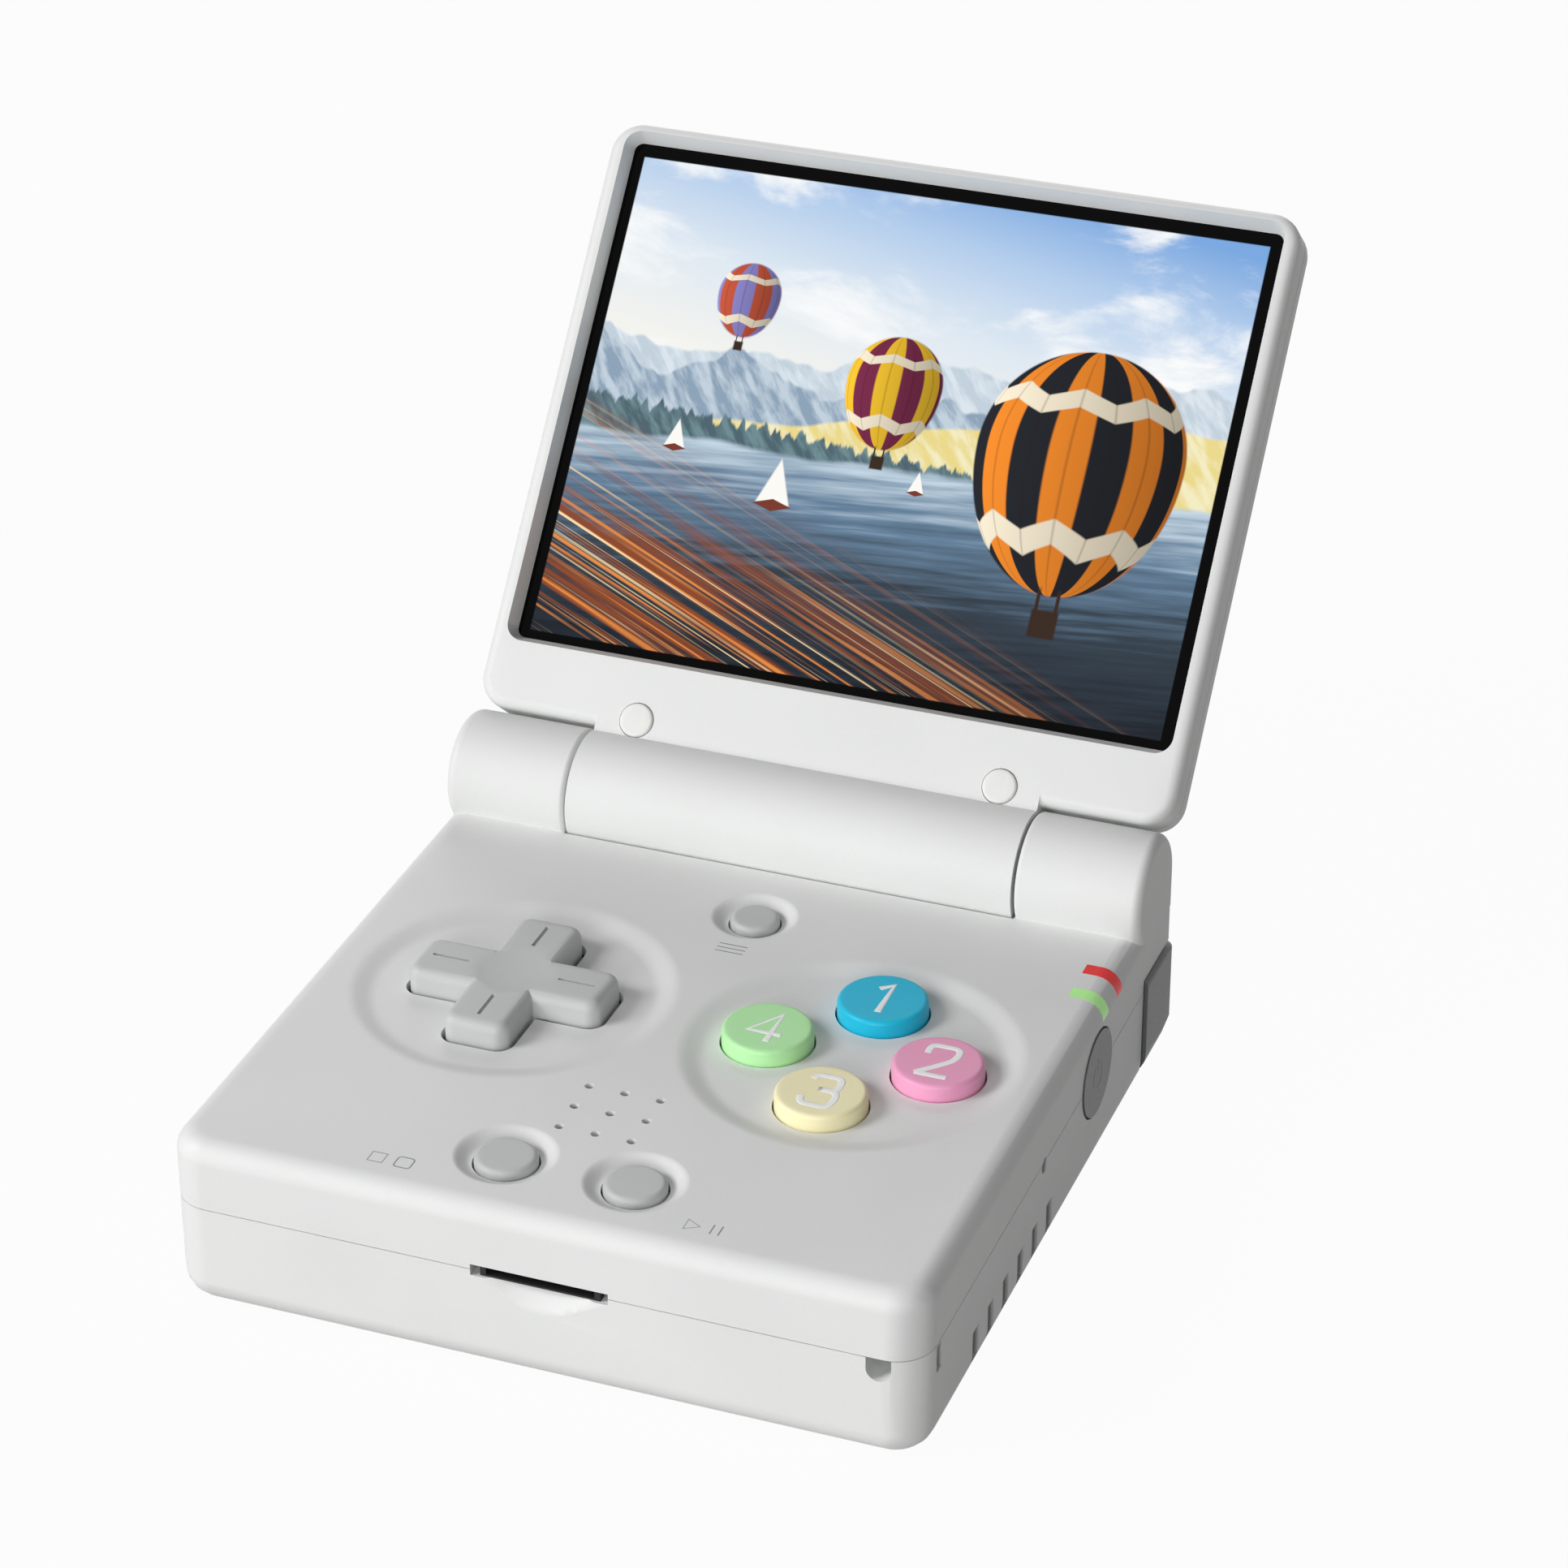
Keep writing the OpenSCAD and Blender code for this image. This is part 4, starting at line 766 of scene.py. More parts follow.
@dataclass(frozen=True)
class LitScreen:
    """Cover glass with a black printed border over a lit dusk landscape with balloons.

    Args:
        name: Name of the material.
        axis: Hinge axis in the row frame, Y and Z.
        open_deg: Angle by which the lid stands open at rest.
        lit_w: Width of the lit area.
        lit_h: Height of the lit area.
        lit_soft: Width of its soft edge.
        chin: Distance from the hinge axis to the lit area.
        smear_mm: Width of the faint smears on the glass.
        balloons: The balloons, far ones first.
        boats: Foot of the mast and height of each small sailing boat.
    """

    name: str
    axis: Point = (33.55, 21.6)
    open_deg: float = 130.2
    lit_w: float = 71.5
    lit_h: float = 54.4
    lit_soft: float = 0.06
    chin: float = 15.9
    smear_mm: float = 9.0
    balloons: tuple[Balloon, ...] = (
        Balloon((-20.0, 13.5), 3.6, "#8C86C9", "#C4563B", 5.0),
        Balloon((-1.5, 6.0), 5.4, "#F2C230", "#7A2A4A", 6.0),
        Balloon((20.5, 1.5), 11.5, "#F08A2A", "#22252B", 8.0),
    )
    boats: tuple[tuple[Point, float], ...] = (((-24.5, -4.6), 3.2), ((-12.0, -9.2), 5.2),
                                              ((3.5, -5.4), 2.4))

    def build(self) -> bpy.types.Material:
        """Build the glass: emission inside the lit area, gloss black print round it.

        Returns:
            The material.
        """
        material, tree = new_material(self.name)
        place = node(tree, "ShaderNodeTexCoord").outputs["Object"]
        # Turns the open lid back to its closed place, in millimetres from the hinge axis.
        flat = node(tree, "ShaderNodeMapping", {"vector_type": "TEXTURE"}, {
            "Vector": place, "Location": (0.0, self.axis[0] * MM, self.axis[1] * MM),
            "Rotation": (math.radians(-self.open_deg), 0.0, 0.0), "Scale": (MM, MM, MM)})
        across = node(tree, "ShaderNodeSeparateXYZ", None, {0: flat})
        x = across.outputs["X"]
        y = node(tree, "ShaderNodeMath", {"operation": "SUBTRACT"}, {
            0: -(self.chin + self.lit_h / 2), 1: across.outputs["Y"]})
        glow = coated(tree, BLACK, (self.inside(tree, x, y), self.paint(tree, x, y)))
        smear = node(tree, "ShaderNodeTexNoise", None, {
            "Vector": place, "Scale": 1 / (self.smear_mm * MM), "Detail": 2.0}).outputs["Fac"]
        clean = node(tree, "ShaderNodeMapRange", None, {
            "Value": smear, "From Min": 0.35, "From Max": 0.7, "To Min": 0.05, "To Max": 0.1})
        skin = node(tree, "ShaderNodeBsdfPrincipled", None, {
            "Base Color": coated(tree, linear("#030304"), (smear, linear("#050506"))),
            "Roughness": clean, "IOR": 1.5, "Specular IOR Level": 0.05,
            "Emission Color": glow, "Emission Strength": 1.0})
        node(tree, "ShaderNodeOutputMaterial", None, {"Surface": skin})
        return material

    def inside(self, tree: bpy.types.NodeTree, x: Value, y: Value) -> bpy.types.Node:
        """Give 1 inside the lit area and 0 on the printed border.

        Args:
            tree: Node tree of the glass.
            x: Distance across from the middle of the lit area.
            y: Distance up from that middle.

        Returns:
            The mask.
        """
        masks = []
        for value, half in ((x, self.lit_w / 2), (y, self.lit_h / 2)):
            size = node(tree, "ShaderNodeMath", {"operation": "ABSOLUTE"}, {0: value})
            masks.append(node(tree, "ShaderNodeMapRange", None, {
                "Value": size, "From Min": half - self.lit_soft, "From Max": half + self.lit_soft,
                **FALLING}))
        return node(tree, "ShaderNodeMath", {"operation": "MULTIPLY"}, dict(enumerate(masks)))

    def paint(self, tree: bpy.types.NodeTree, x: Value, y: Value) -> Value:
        """Paint the picture from the back to the front.

        Args:
            tree: Node tree of the glass.
            x: Distance across from the middle of the lit area.
            y: Distance up from that middle.

        Returns:
            The colour of the picture.
        """
        picture = Picture(tree, x, y, self.lit_h)
        picture.sky()
        picture.land()
        picture.lake()
        picture.evening_light()
        for at, high in self.boats:
            picture.sail(at, high)
        for balloon in self.balloons:
            picture.balloon(balloon)
        return picture.colour


class Finishes:
    """Builds each finish once and hands it out by name."""

    def __init__(self) -> None:
        """Start with no material built."""
        self._made: dict[str, bpy.types.Material] = {}
        self.casing = MouldedPlastic("moulded_abs_casing", "#E9EAE9")
        self.key_grey = MouldedPlastic("moulded_abs_key_grey", "#C8C9C9", roughness=0.42)
        self.charcoal = MouldedPlastic("moulded_abs_dark", "#757677", roughness=0.44)
        self.black_abs = MouldedPlastic("moulded_abs_black", "#2A2A2C", roughness=0.5)
        self.blue_key = MouldedPlastic("moulded_abs_blue", "#1FC4E8", 0.36)
        self.pink_key = MouldedPlastic("moulded_abs_pink", "#FAAACF", 0.36)
        self.yellow_key = MouldedPlastic("moulded_abs_yellow", "#FFF6C8", 0.36)
        self.green_key = MouldedPlastic("moulded_abs_green", "#BEF8B4", 0.36)
        self.pad_white = Silicone("silicone_white", "#EDEDEB", 0.45)
        self.rubber = Silicone("silicone_dark", "#5C5C60")
        self.red_window = TintedWindow("tinted_polycarbonate_red", "#DC2E30")
        self.green_window = TintedWindow("tinted_polycarbonate_green", "#B0EC94")
        self.steel = BareMetal("drawn_steel", "#B9BCC0")
        self.gold = BareMetal("gold_plate", "#D9B25A", 0.25, 0.08)
        self.gauze = BareMetal("woven_steel_dark", "#26272A", 0.55, 0.1)
        self.board = SolderMask("solder_mask_green", "#2E6B45")
        self.cell_wrap = MouldedPlastic("polyester_wrap_grey", "#4A5568", 0.3)
        self.white_fill = PaintFill("enamel_fill_white", "#FFFFFF")
        # Grey of the marks on the control face and power button: painted shade standing in for
        # engraved grooves that are not cut.
        self.groove_painted_shade = PaintFill("painted_groove_shade_grey", "#8F9090", 0.6)
        self.glass = LitScreen("cover_glass_lit")

    def get(self, finish: Finish) -> bpy.types.Material:
        """Give the material of a finish, building it the first time.

        Args:
            finish: The finish.

        Returns:
            Its material.
        """
        if finish.name not in self._made:
            self._made[finish.name] = finish.build()
        return self._made[finish.name]


# --------------------------------------------------------------------------- geometry nodes


class TreeInput(Enum):
    """Kinds of named input that the geometry trees take."""

    LENGTH = "NodeSocketFloat"
    COUNT = "NodeSocketInt"
    MATERIAL = "NodeSocketMaterial"
    MESH = "NodeSocketGeometry"


def new_tree(name: str, others: dict[str, TreeInput], lengths: tuple[str, ...]) -> tuple[
        bpy.types.NodeTree, bpy.types.NodeOutputs]:
    """Start a geometry tree with named inputs and one geometry output.

    A modifier hands its mesh to the first input only, so "Geometry" stands first.

    Args:
        name: Name of the tree.
        others: Name and kind of each input that is no plain number.
        lengths: Names of the inputs that take a length, an angle or a share.

    Returns:
        The tree and its inputs.
    """
    tree = bpy.data.node_groups.new(name, "GeometryNodeTree")
    for label, kind in (others | dict.fromkeys(lengths, TreeInput.LENGTH)).items():
        tree.interface.new_socket(name=label, in_out="INPUT", socket_type=kind.value)
    tree.interface.new_socket(name="Geometry", in_out="OUTPUT", socket_type="NodeSocketGeometry")
    return tree, tree.nodes.new("NodeGroupInput").outputs


def end_tree(tree: bpy.types.NodeTree, shape: Value, material: Value) -> None:
    """Hand a shape to a tree's output as one mesh in one material.

    Args:
        tree: The tree.
        shape: The shape.
        material: The material.
    """
    solid = node(tree, "GeometryNodeRealizeInstances", None, {"Geometry": shape})
    dressed = node(tree, "GeometryNodeSetMaterial", None, {"Geometry": solid, "Material": material})
    node(tree, "NodeGroupOutput", None, {0: dressed})


def round_wire(tree: bpy.types.NodeTree, path: Value, half: Value, sides: int) -> bpy.types.Node:
    """Draw a round wire with closed ends along a path.

    Args:
        tree: The tree.
        path: The path.
        half: Half the thickness of the wire.
        sides: Number of sides round the wire.

    Returns:
        The node that gives the wire.
    """
    ring = node(tree, "GeometryNodeCurvePrimitiveCircle", None, {"Resolution": sides, "Radius": half})
    return node(tree, "GeometryNodeCurveToMesh", None, {
        "Curve": path, "Profile Curve": ring.outputs["Curve"], "Fill Caps": True})


def smoothing_tree() -> bpy.types.NodeTree:
    """Build the tree that joins loose triangles and shades moulded fillets smoothly.

    Returns:
        The tree, with inputs "Geometry", "Merge distance" and "Sharp angle".
    """
    tree, given = new_tree("smooth_moulded_edges", {"Geometry": TreeInput.MESH},
                           ("Merge distance", "Sharp angle"))
    merged = node(tree, "GeometryNodeMergeByDistance", None, {
        "Geometry": given["Geometry"], "Distance": given["Merge distance"]})
    round_faces = node(tree, "GeometryNodeSetShadeSmooth", {"domain": "FACE"}, {
        "Geometry": merged, "Shade Smooth": True})
    angle = node(tree, "GeometryNodeInputMeshEdgeAngle")
    sharp = node(tree, "FunctionNodeCompare", ABOVE, {
        0: angle.outputs["Unsigned Angle"], 1: given["Sharp angle"]})
    creased = node(tree, "GeometryNodeSetShadeSmooth", {"domain": "EDGE"}, {
        "Geometry": round_faces, "Selection": sharp, "Shade Smooth": False})
    node(tree, "NodeGroupOutput", None, {0: creased})
    return tree


def stroke_tree() -> bpy.types.NodeTree:
    """Build the tree that draws a half-round stroke along each chain of edges.

    Returns:
        The tree, with inputs "Geometry", "Material", "Width" and "Height".
    """
    tree, given = new_tree("inlaid_stroke", {
        "Geometry": TreeInput.MESH, "Material": TreeInput.MATERIAL}, ("Width", "Height"))
    path = node(tree, "GeometryNodeMeshToCurve", None, {"Mesh": given["Geometry"]})
    half = node(tree, "ShaderNodeMath", {"operation": "MULTIPLY"}, {0: given["Width"], 1: 0.5})
    ratio = node(tree, "ShaderNodeMath", {"operation": "DIVIDE"}, {0: given["Height"], 1: half})
    squash = node(tree, "ShaderNodeCombineXYZ", None, {0: 1.0, 1: 1.0, 2: ratio})
    flat = node(tree, "GeometryNodeTransform", None, {
        "Geometry": round_wire(tree, path, half, 12), "Scale": squash})
    end_tree(tree, flat, given["Material"])
    return tree


def gauze_tree() -> bpy.types.NodeTree:
    """Build the tree of a woven wire gauze, an ellipse where "Corner" is 0.5.

    Returns:
        The tree, with inputs "Material", "Width", "Depth", "Pitch", "Wire" and "Corner".
        The gauze is a whole rectangle where "Corner" is 1.
    """
    tree, given = new_tree("woven_gauze", {"Material": TreeInput.MATERIAL},
                           ("Width", "Depth", "Pitch", "Wire", "Corner"))
    counts = []
    for side in ("Width", "Depth"):
        share = node(tree, "ShaderNodeMath", {"operation": "DIVIDE"}, {
            0: given[side], 1: given["Pitch"]})
        counts.append(node(tree, "ShaderNodeMath", {"operation": "ROUND"}, {0: share}))
    grid = node(tree, "GeometryNodeMeshGrid", None, {
        "Size X": given["Width"], "Size Y": given["Depth"],
        "Vertices X": counts[0], "Vertices Y": counts[1]})
    place = node(tree, "GeometryNodeInputPosition")
    sides = node(tree, "ShaderNodeCombineXYZ", None, {0: given["Width"], 1: given["Depth"], 2: 1.0})
    share = node(tree, "ShaderNodeVectorMath", {"operation": "DIVIDE"}, {0: place, 1: sides})
    far = node(tree, "ShaderNodeVectorMath", {"operation": "LENGTH"}, {0: share})
    outside = node(tree, "FunctionNodeCompare", ABOVE, {0: far.outputs["Value"], 1: given["Corner"]})
    cut = node(tree, "GeometryNodeDeleteGeometry", {"domain": "POINT"}, {
        "Geometry": grid.outputs["Mesh"], "Selection": outside})
    wires = node(tree, "GeometryNodeMeshToCurve", None, {"Mesh": cut})
    half = node(tree, "ShaderNodeMath", {"operation": "MULTIPLY"}, {0: given["Wire"], 1: 0.5})
    end_tree(tree, round_wire(tree, wires, half, 4), given["Material"])
    return tree


def contact_tree() -> bpy.types.NodeTree:
    """Build the tree of a row of sprung contact fingers, bent up and down again.

    Returns:
        The tree, with inputs "Count", "Material", "Pitch", "Length", "Width", "Rise" and
        "Thick".
    """
    tree, given = new_tree("contact_row", {
        "Count": TreeInput.COUNT, "Material": TreeInput.MATERIAL},
        ("Pitch", "Length", "Width", "Rise", "Thick"))
    last = node(tree, "ShaderNodeMath", {"operation": "SUBTRACT"}, {0: given["Count"], 1: 1.0})
    span = node(tree, "ShaderNodeMath", {"operation": "MULTIPLY"}, {0: last, 1: given["Pitch"]})
    first = node(tree, "ShaderNodeMath", {"operation": "MULTIPLY"}, {0: span, 1: -0.5})
    begin = node(tree, "ShaderNodeCombineXYZ", None, {0: first, 1: 0.0, 2: 0.0})
    step = node(tree, "ShaderNodeCombineXYZ", None, {0: given["Pitch"], 1: 0.0, 2: 0.0})
    row = node(tree, "GeometryNodeMeshLine", {"mode": "OFFSET"}, {
        "Count": given["Count"], "Start Location": begin, "Offset": step})
    # A finger is bent most at six tenths of its length.
    middle = node(tree, "ShaderNodeMath", {"operation": "MULTIPLY"}, {0: given["Length"], 1: 0.6})
    peak = node(tree, "ShaderNodeCombineXYZ", None, {0: 0.0, 1: middle, 2: given["Rise"]})
    tip = node(tree, "ShaderNodeCombineXYZ", None, {0: 0.0, 1: given["Length"], 2: 0.0})
    arc = node(tree, "GeometryNodeCurveQuadraticBezier", None, {
        "Resolution": 8, "Start": (0.0, 0.0, 0.0), "Middle": peak, "End": tip})
    strip = node(tree, "GeometryNodeCurvePrimitiveQuadrilateral", None, {
        "Width": given["Width"], "Height": given["Thick"]})
    finger = node(tree, "GeometryNodeCurveToMesh", None, {
        "Curve": arc, "Profile Curve": strip, "Fill Caps": True})
    copies = node(tree, "GeometryNodeInstanceOnPoints", None, {"Points": row, "Instance": finger})
    end_tree(tree, copies, given["Material"])
    return tree


# --------------------------------------------------------------------------- added pieces


def set_inputs(modifier: bpy.types.Modifier, values: dict[str, Value]) -> None:
    """Set a modifier's inputs by the identifiers of their sockets.

    Args:
        modifier: The Geometry Nodes modifier.
        values: Input name to value.
    """
    for item in modifier.node_group.interface.items_tree:
        if item.item_type == "SOCKET" and item.in_out == "INPUT" and item.name in values:
            modifier[item.identifier] = values[item.name]


def grow(name: str, tree: bpy.types.NodeTree, lengths: dict[str, float],
         others: dict[str, Value], place: Matrix,
         seed_mesh: bpy.types.Mesh | None = None) -> bpy.types.Object:
    """Run a geometry tree and keep its result as a plain mesh in place.

    Args:
        name: Name of the piece.
        tree: The geometry tree.
        lengths: Input name to length in millimetres.
        others: Input name to any other value.
        place: Matrix that brings the result into the row frame, in metres.
        seed_mesh: Mesh that the tree starts from, if it needs one.

    Returns:
        The finished piece at the origin.
    """
    source = name + "_source"
    holder = add_object(source, seed_mesh or bpy.data.meshes.new(source))
    modifier = holder.modifiers.new("grow", "NODES")
    modifier.node_group = tree
    set_inputs(modifier, {label: length * MM for label, length in lengths.items()} | others)
    graph = bpy.context.evaluated_depsgraph_get()
    mesh = bpy.data.meshes.new_from_object(holder.evaluated_get(graph), depsgraph=graph)
    holder.modifiers.clear()
    bpy.data.objects.remove(holder, do_unlink=True)
    mesh.transform(place)
    mesh.update()
    return add_object(name, mesh)


def seat(piece: bpy.types.Object, body: str) -> None:
    """Let an added piece ride on its body.

    Args:
        piece: The added piece.
        body: Body that carries it.
    """
    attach(piece, body)
    LOG.info("built %s with %d faces", piece.name, len(piece.data.polygons))


def moved(place: Place | Vector) -> Matrix:
    """Give the matrix that moves a piece to its place.

    Args:
        place: The place in millimetres.

    Returns:
        The matrix in metres.
    """
    return Matrix.Translation(Vector(place) * MM)


def stood(x: float, y: float, z: float) -> Matrix:
    """Give the matrix that stands a flat piece up against the right side.

    Its X runs along +Y and its Y runs up.

    Args:
        x: Place across, in millimetres.
        y: Place along.
        z: Height.

    Returns:
        The matrix in metres.
    """
    return Matrix(((0, 0, 1, x * MM), (1, 0, 0, y * MM), (0, 1, 0, z * MM), (0, 0, 0, 1)))


@dataclass
class Mouldings:
    """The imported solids: joined fillets and one finish each.

    Args:
        nodes: CAD node name to object.
        finishes: Where the materials come from.
        merge_mm: Distance under which loose corners are one.
        sharp_deg: Angle from which an edge stays sharp.
        flat_weight: How much large faces count in the even shading, from 1 to 100.
    """

    nodes: dict[str, bpy.types.Object]
    finishes: Finishes
    merge_mm: float = 0.004
    sharp_deg: float = 32.0
    flat_weight: int = 90

    def dress(self) -> None:
        """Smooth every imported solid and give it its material."""
        f = self.finishes
        groups: tuple[tuple[Finish, tuple[str, ...]], ...] = (
            (f.casing, ("base_upper_shell", "base_lower_shell", "lid_front_shell",
                        "lid_rear_shell")),
            (f.key_grey, ("dpad", "menu_button", "select_button", "start_button")),
            (f.charcoal, ("left_trigger", "right_trigger", "power_button", "volume_rocker")),
            (f.black_abs, ("audio_jack", "power_switch", "volume_switch", "speaker_driver",
                           "left_hinge_bushing", "right_hinge_bushing", "card_mouth",
                           "display_panel")),
            (f.blue_key, ("north_button",)), (f.pink_key, ("east_button",)),
            (f.yellow_key, ("south_button",)), (f.green_key, ("west_button",)),
            (f.pad_white, ("left_lid_pad", "right_lid_pad")),
            (f.rubber, ("face_button_membrane", "dpad_membrane", "option_membrane",
                        "menu_membrane", "dpad_pivot", "display_gasket")),
            (f.red_window, ("red_light_pipe",)), (f.green_window, ("green_light_pipe",)),
            (f.steel, ("casing_screws", "left_hinge_pin", "right_hinge_pin",
                       "left_trigger_pin", "right_trigger_pin", "card_socket", "usb_port")),
            (f.board, ("main_board",)), (f.cell_wrap, ("battery_cell",)),
            (f.glass, ("display_glass",)),
        )
        tree = smoothing_tree()
        for finish, names in groups:
            for name in names:
                self.smooth(self.nodes[name], tree)
                self.paint(self.nodes[name], f.get(finish))
                LOG.info("dressed %s with %s", name, finish.name)

    def smooth(self, solid: bpy.types.Object, tree: bpy.types.NodeTree) -> None:
        """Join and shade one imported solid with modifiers, its mesh left as it is.

        Args:
            solid: The CAD node's object.
            tree: The smoothing tree.
        """
        modifier = solid.modifiers.new("smooth_edges", "NODES")
        modifier.node_group = tree
        set_inputs(modifier, {"Merge distance": self.merge_mm * MM,
                              "Sharp angle": math.radians(self.sharp_deg)})
        weighted = solid.modifiers.new("even_flats", "WEIGHTED_NORMAL")
        weighted.keep_sharp = True
        weighted.weight = self.flat_weight

    def paint(self, solid: bpy.types.Object, material: bpy.types.Material) -> None:
        """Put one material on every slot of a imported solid.

        Args:
            solid: The CAD node's object.
            material: Its finish.
        """
        if not solid.material_slots:
            solid.data.materials.append(material)
        for slot in solid.material_slots:
            slot.material = material


@dataclass(frozen=True)
class Stroke:
    """One chain of a glyph, in units of the glyph's height.

    Args:
        points: The corners of the chain.
        curved: True where the chain is a smooth curve through its corners.
        closed: True where the last corner joins the first.
        rounds: How often the corners of a curved chain are cut.
    """

    points: tuple[Point, ...]
    curved: bool = False
    closed: bool = False
    rounds: int = 3

    def path(self) -> list[Point]:
        """Give the chain, with its corners cut off in rounds where it is curved.

        Returns:
            The points of the chain.
        """
        chain = list(self.points)
        for _ in range(self.rounds if self.curved else 0):
            after = chain[1:] + (chain[:1] if self.closed else [])
            cut = [(ax * near + bx * (1 - near), ay * near + by * (1 - near))
                   for (ax, ay), (bx, by) in zip(chain, after) for near in (0.75, 0.25)]
            chain = cut if self.closed else [chain[0], *cut, chain[-1]]
        return chain


def open_ring(radius: float, drop: float, gap: float, steps: int) -> Stroke:
    """Draw a ring that is open at its top.

    Args:
        radius: Radius of the ring.
        drop: Distance of its centre below the middle of the glyph.
        gap: Half the angle of the opening.
        steps: Number of straight pieces.

    Returns:
        The ring.
    """
    angles = [gap + i * (2 * math.pi - 2 * gap) / steps for i in range(steps + 1)]
    return Stroke(tuple((radius * math.sin(a), radius * math.cos(a) - drop) for a in angles))


class Glyph(Enum):
    """The plain digits and generic marks, drawn as strokes one unit high."""

    ONE = (Stroke(((-0.17, 0.3), (0.06, 0.5), (0.06, -0.5))),)
    TWO = (Stroke(((-0.28, 0.2), (-0.28, 0.5), (0.0, 0.5), (0.3, 0.5), (0.3, 0.14), (0.1, -0.1),
                   (-0.3, -0.5)), curved=True), Stroke(((-0.3, -0.5), (0.32, -0.5))))
    THREE = (Stroke(((-0.27, 0.34), (-0.2, 0.5), (0.0, 0.5), (0.27, 0.5), (0.29, 0.05),
                     (0.05, 0.04), (-0.07, 0.04)), curved=True),
             Stroke(((-0.07, 0.04), (0.06, 0.04), (0.34, 0.02), (0.32, -0.5), (0.0, -0.5),
                     (-0.24, -0.5), (-0.3, -0.28)), curved=True))
    FOUR = (Stroke(((0.14, -0.5), (0.14, 0.5), (-0.32, -0.2), (0.34, -0.2))),)
    BARS = tuple(Stroke(((-0.9, rise), (0.9, rise))) for rise in (0.42, 0.0, -0.42))
    PAIR = (Stroke(((-1.5, -0.45), (-0.6, -0.45), (-0.6, 0.45), (-1.5, 0.45)), closed=True),
            Stroke(((0.1, 0.0), (0.1, 0.5), (0.6, 0.5), (1.1, 0.5), (1.1, 0.0), (1.1, -0.5),
                    (0.6, -0.5), (0.1, -0.5)), curved=True, closed=True))
    ONWARD = (Stroke(((-1.3, -0.48), (-0.45, 0.0), (-1.3, 0.48)), closed=True),
              Stroke(((0.25, -0.45), (0.25, 0.45))), Stroke(((0.75, -0.45), (0.75, 0.45))))
    RING_AND_BAR = (open_ring(0.42, 0.06, 0.6, 20), Stroke(((0.0, 0.5), (0.0, 0.02))))


@dataclass(frozen=True)
class Pen:
    """How a glyph is drawn.

    Args:
        high: Height of the glyph.
        wide: Width of its stroke.
        tall: How far the stroke stands above the surface.
    """

    high: float
    wide: float
    tall: float


@dataclass
class Lettering:
    """Digits inlaid in the face buttons, and grey marks beside the small buttons that are painted
    shade of engraved grooves.

    Args:
        finishes: Where the materials come from.
        face_centre: Centre of the four face buttons.
        face_off: Distance of each face button from it.
        face_top: Height of the face buttons.
        deck: Height of the control face.
        power_face: Centre of the outer face of the power button.
        marks: Name, glyph and centre of each mark on the control face.
        digit_pen: How a digit is drawn.
        mark_pen: How a mark on the control face is drawn.
        power_pen: How the mark on the power button is drawn.
        tree: Stroke tree that all glyphs share.
    """

    finishes: Finishes
    face_centre: Point = (18.4, -2.2)
    face_off: float = 9.0
    face_top: float = 20.1
    deck: float = 19.0
    power_face: Place = (39.15, 13.7, 11.6)
    marks: tuple[tuple[str, Glyph, Point], ...] = (
        ("menu_mark", Glyph.BARS, (0.0, 11.95)),
        ("select_mark", Glyph.PAIR, (-16.3, -35.35)),
        ("start_mark", Glyph.ONWARD, (16.0, -35.4)),
    )
    digit_pen: Pen = Pen(5.3, 0.74, 0.04)
    mark_pen: Pen = Pen(1.7, 0.15, 0.012)
    power_pen: Pen = Pen(3.4, 0.3, 0.03)
    tree: bpy.types.NodeTree = field(init=False)

    def __post_init__(self) -> None:
        """Build the stroke tree that all glyphs share."""
        self.tree = stroke_tree()

    def build(self) -> None:
        """Build every digit and mark and let it ride on what carries it."""
        f = self.finishes
        fx, fy = self.face_centre
        off = self.face_off
        digits = (("north", Glyph.ONE, (fx, fy + off)), ("east", Glyph.TWO, (fx + off, fy)),
                  ("south", Glyph.THREE, (fx, fy - off)), ("west", Glyph.FOUR, (fx - off, fy)))
        for key, glyph, centre in digits:
            piece = self.glyph(key + "_digit", glyph, self.digit_pen,
                               moved((*centre, self.face_top)), f.white_fill)
            seat(piece, key + "_button")
        # The marks are raised grey strokes: painted shade in place of engraved grooves.
        for name, glyph, centre in self.marks:
            piece = self.glyph(name, glyph, self.mark_pen, moved((*centre, self.deck)),
                               f.groove_painted_shade)
            seat(piece, "base")
        piece = self.glyph("power_mark", Glyph.RING_AND_BAR, self.power_pen,
                           stood(*self.power_face), f.groove_painted_shade)
        seat(piece, "power_button")

    def glyph(self, name: str, glyph: Glyph, pen: Pen, place: Matrix,
              finish: Finish) -> bpy.types.Object:
        """Draw one glyph as a half-round stroke sunk to its middle in the surface.

        Args:
            name: Name of the piece.
            glyph: The glyph.
            pen: How it is drawn.
            place: Matrix from the glyph's plane to the row frame.
            finish: Finish of the stroke.

        Returns:
            The piece.
        """
        corners: list[Place] = []
        edges: list[tuple[int, int]] = []
        for stroke in glyph.value:
            chain = stroke.path()
            first = len(corners)
            corners += [(x * pen.high * MM, y * pen.high * MM, 0.0) for x, y in chain]
            edges += [(first + i, first + i + 1) for i in range(len(chain) - 1)]
            if stroke.closed:
                edges.append((len(corners) - 1, first))
        seed = bpy.data.meshes.new(name + "_path")
        seed.from_pydata(corners, edges, [])
        piece = grow(name, self.tree, {"Width": pen.wide, "Height": pen.tall},
                     {"Material": self.finishes.get(finish)}, place, seed)
        for face in piece.data.polygons:
            face.use_smooth = True
        return piece


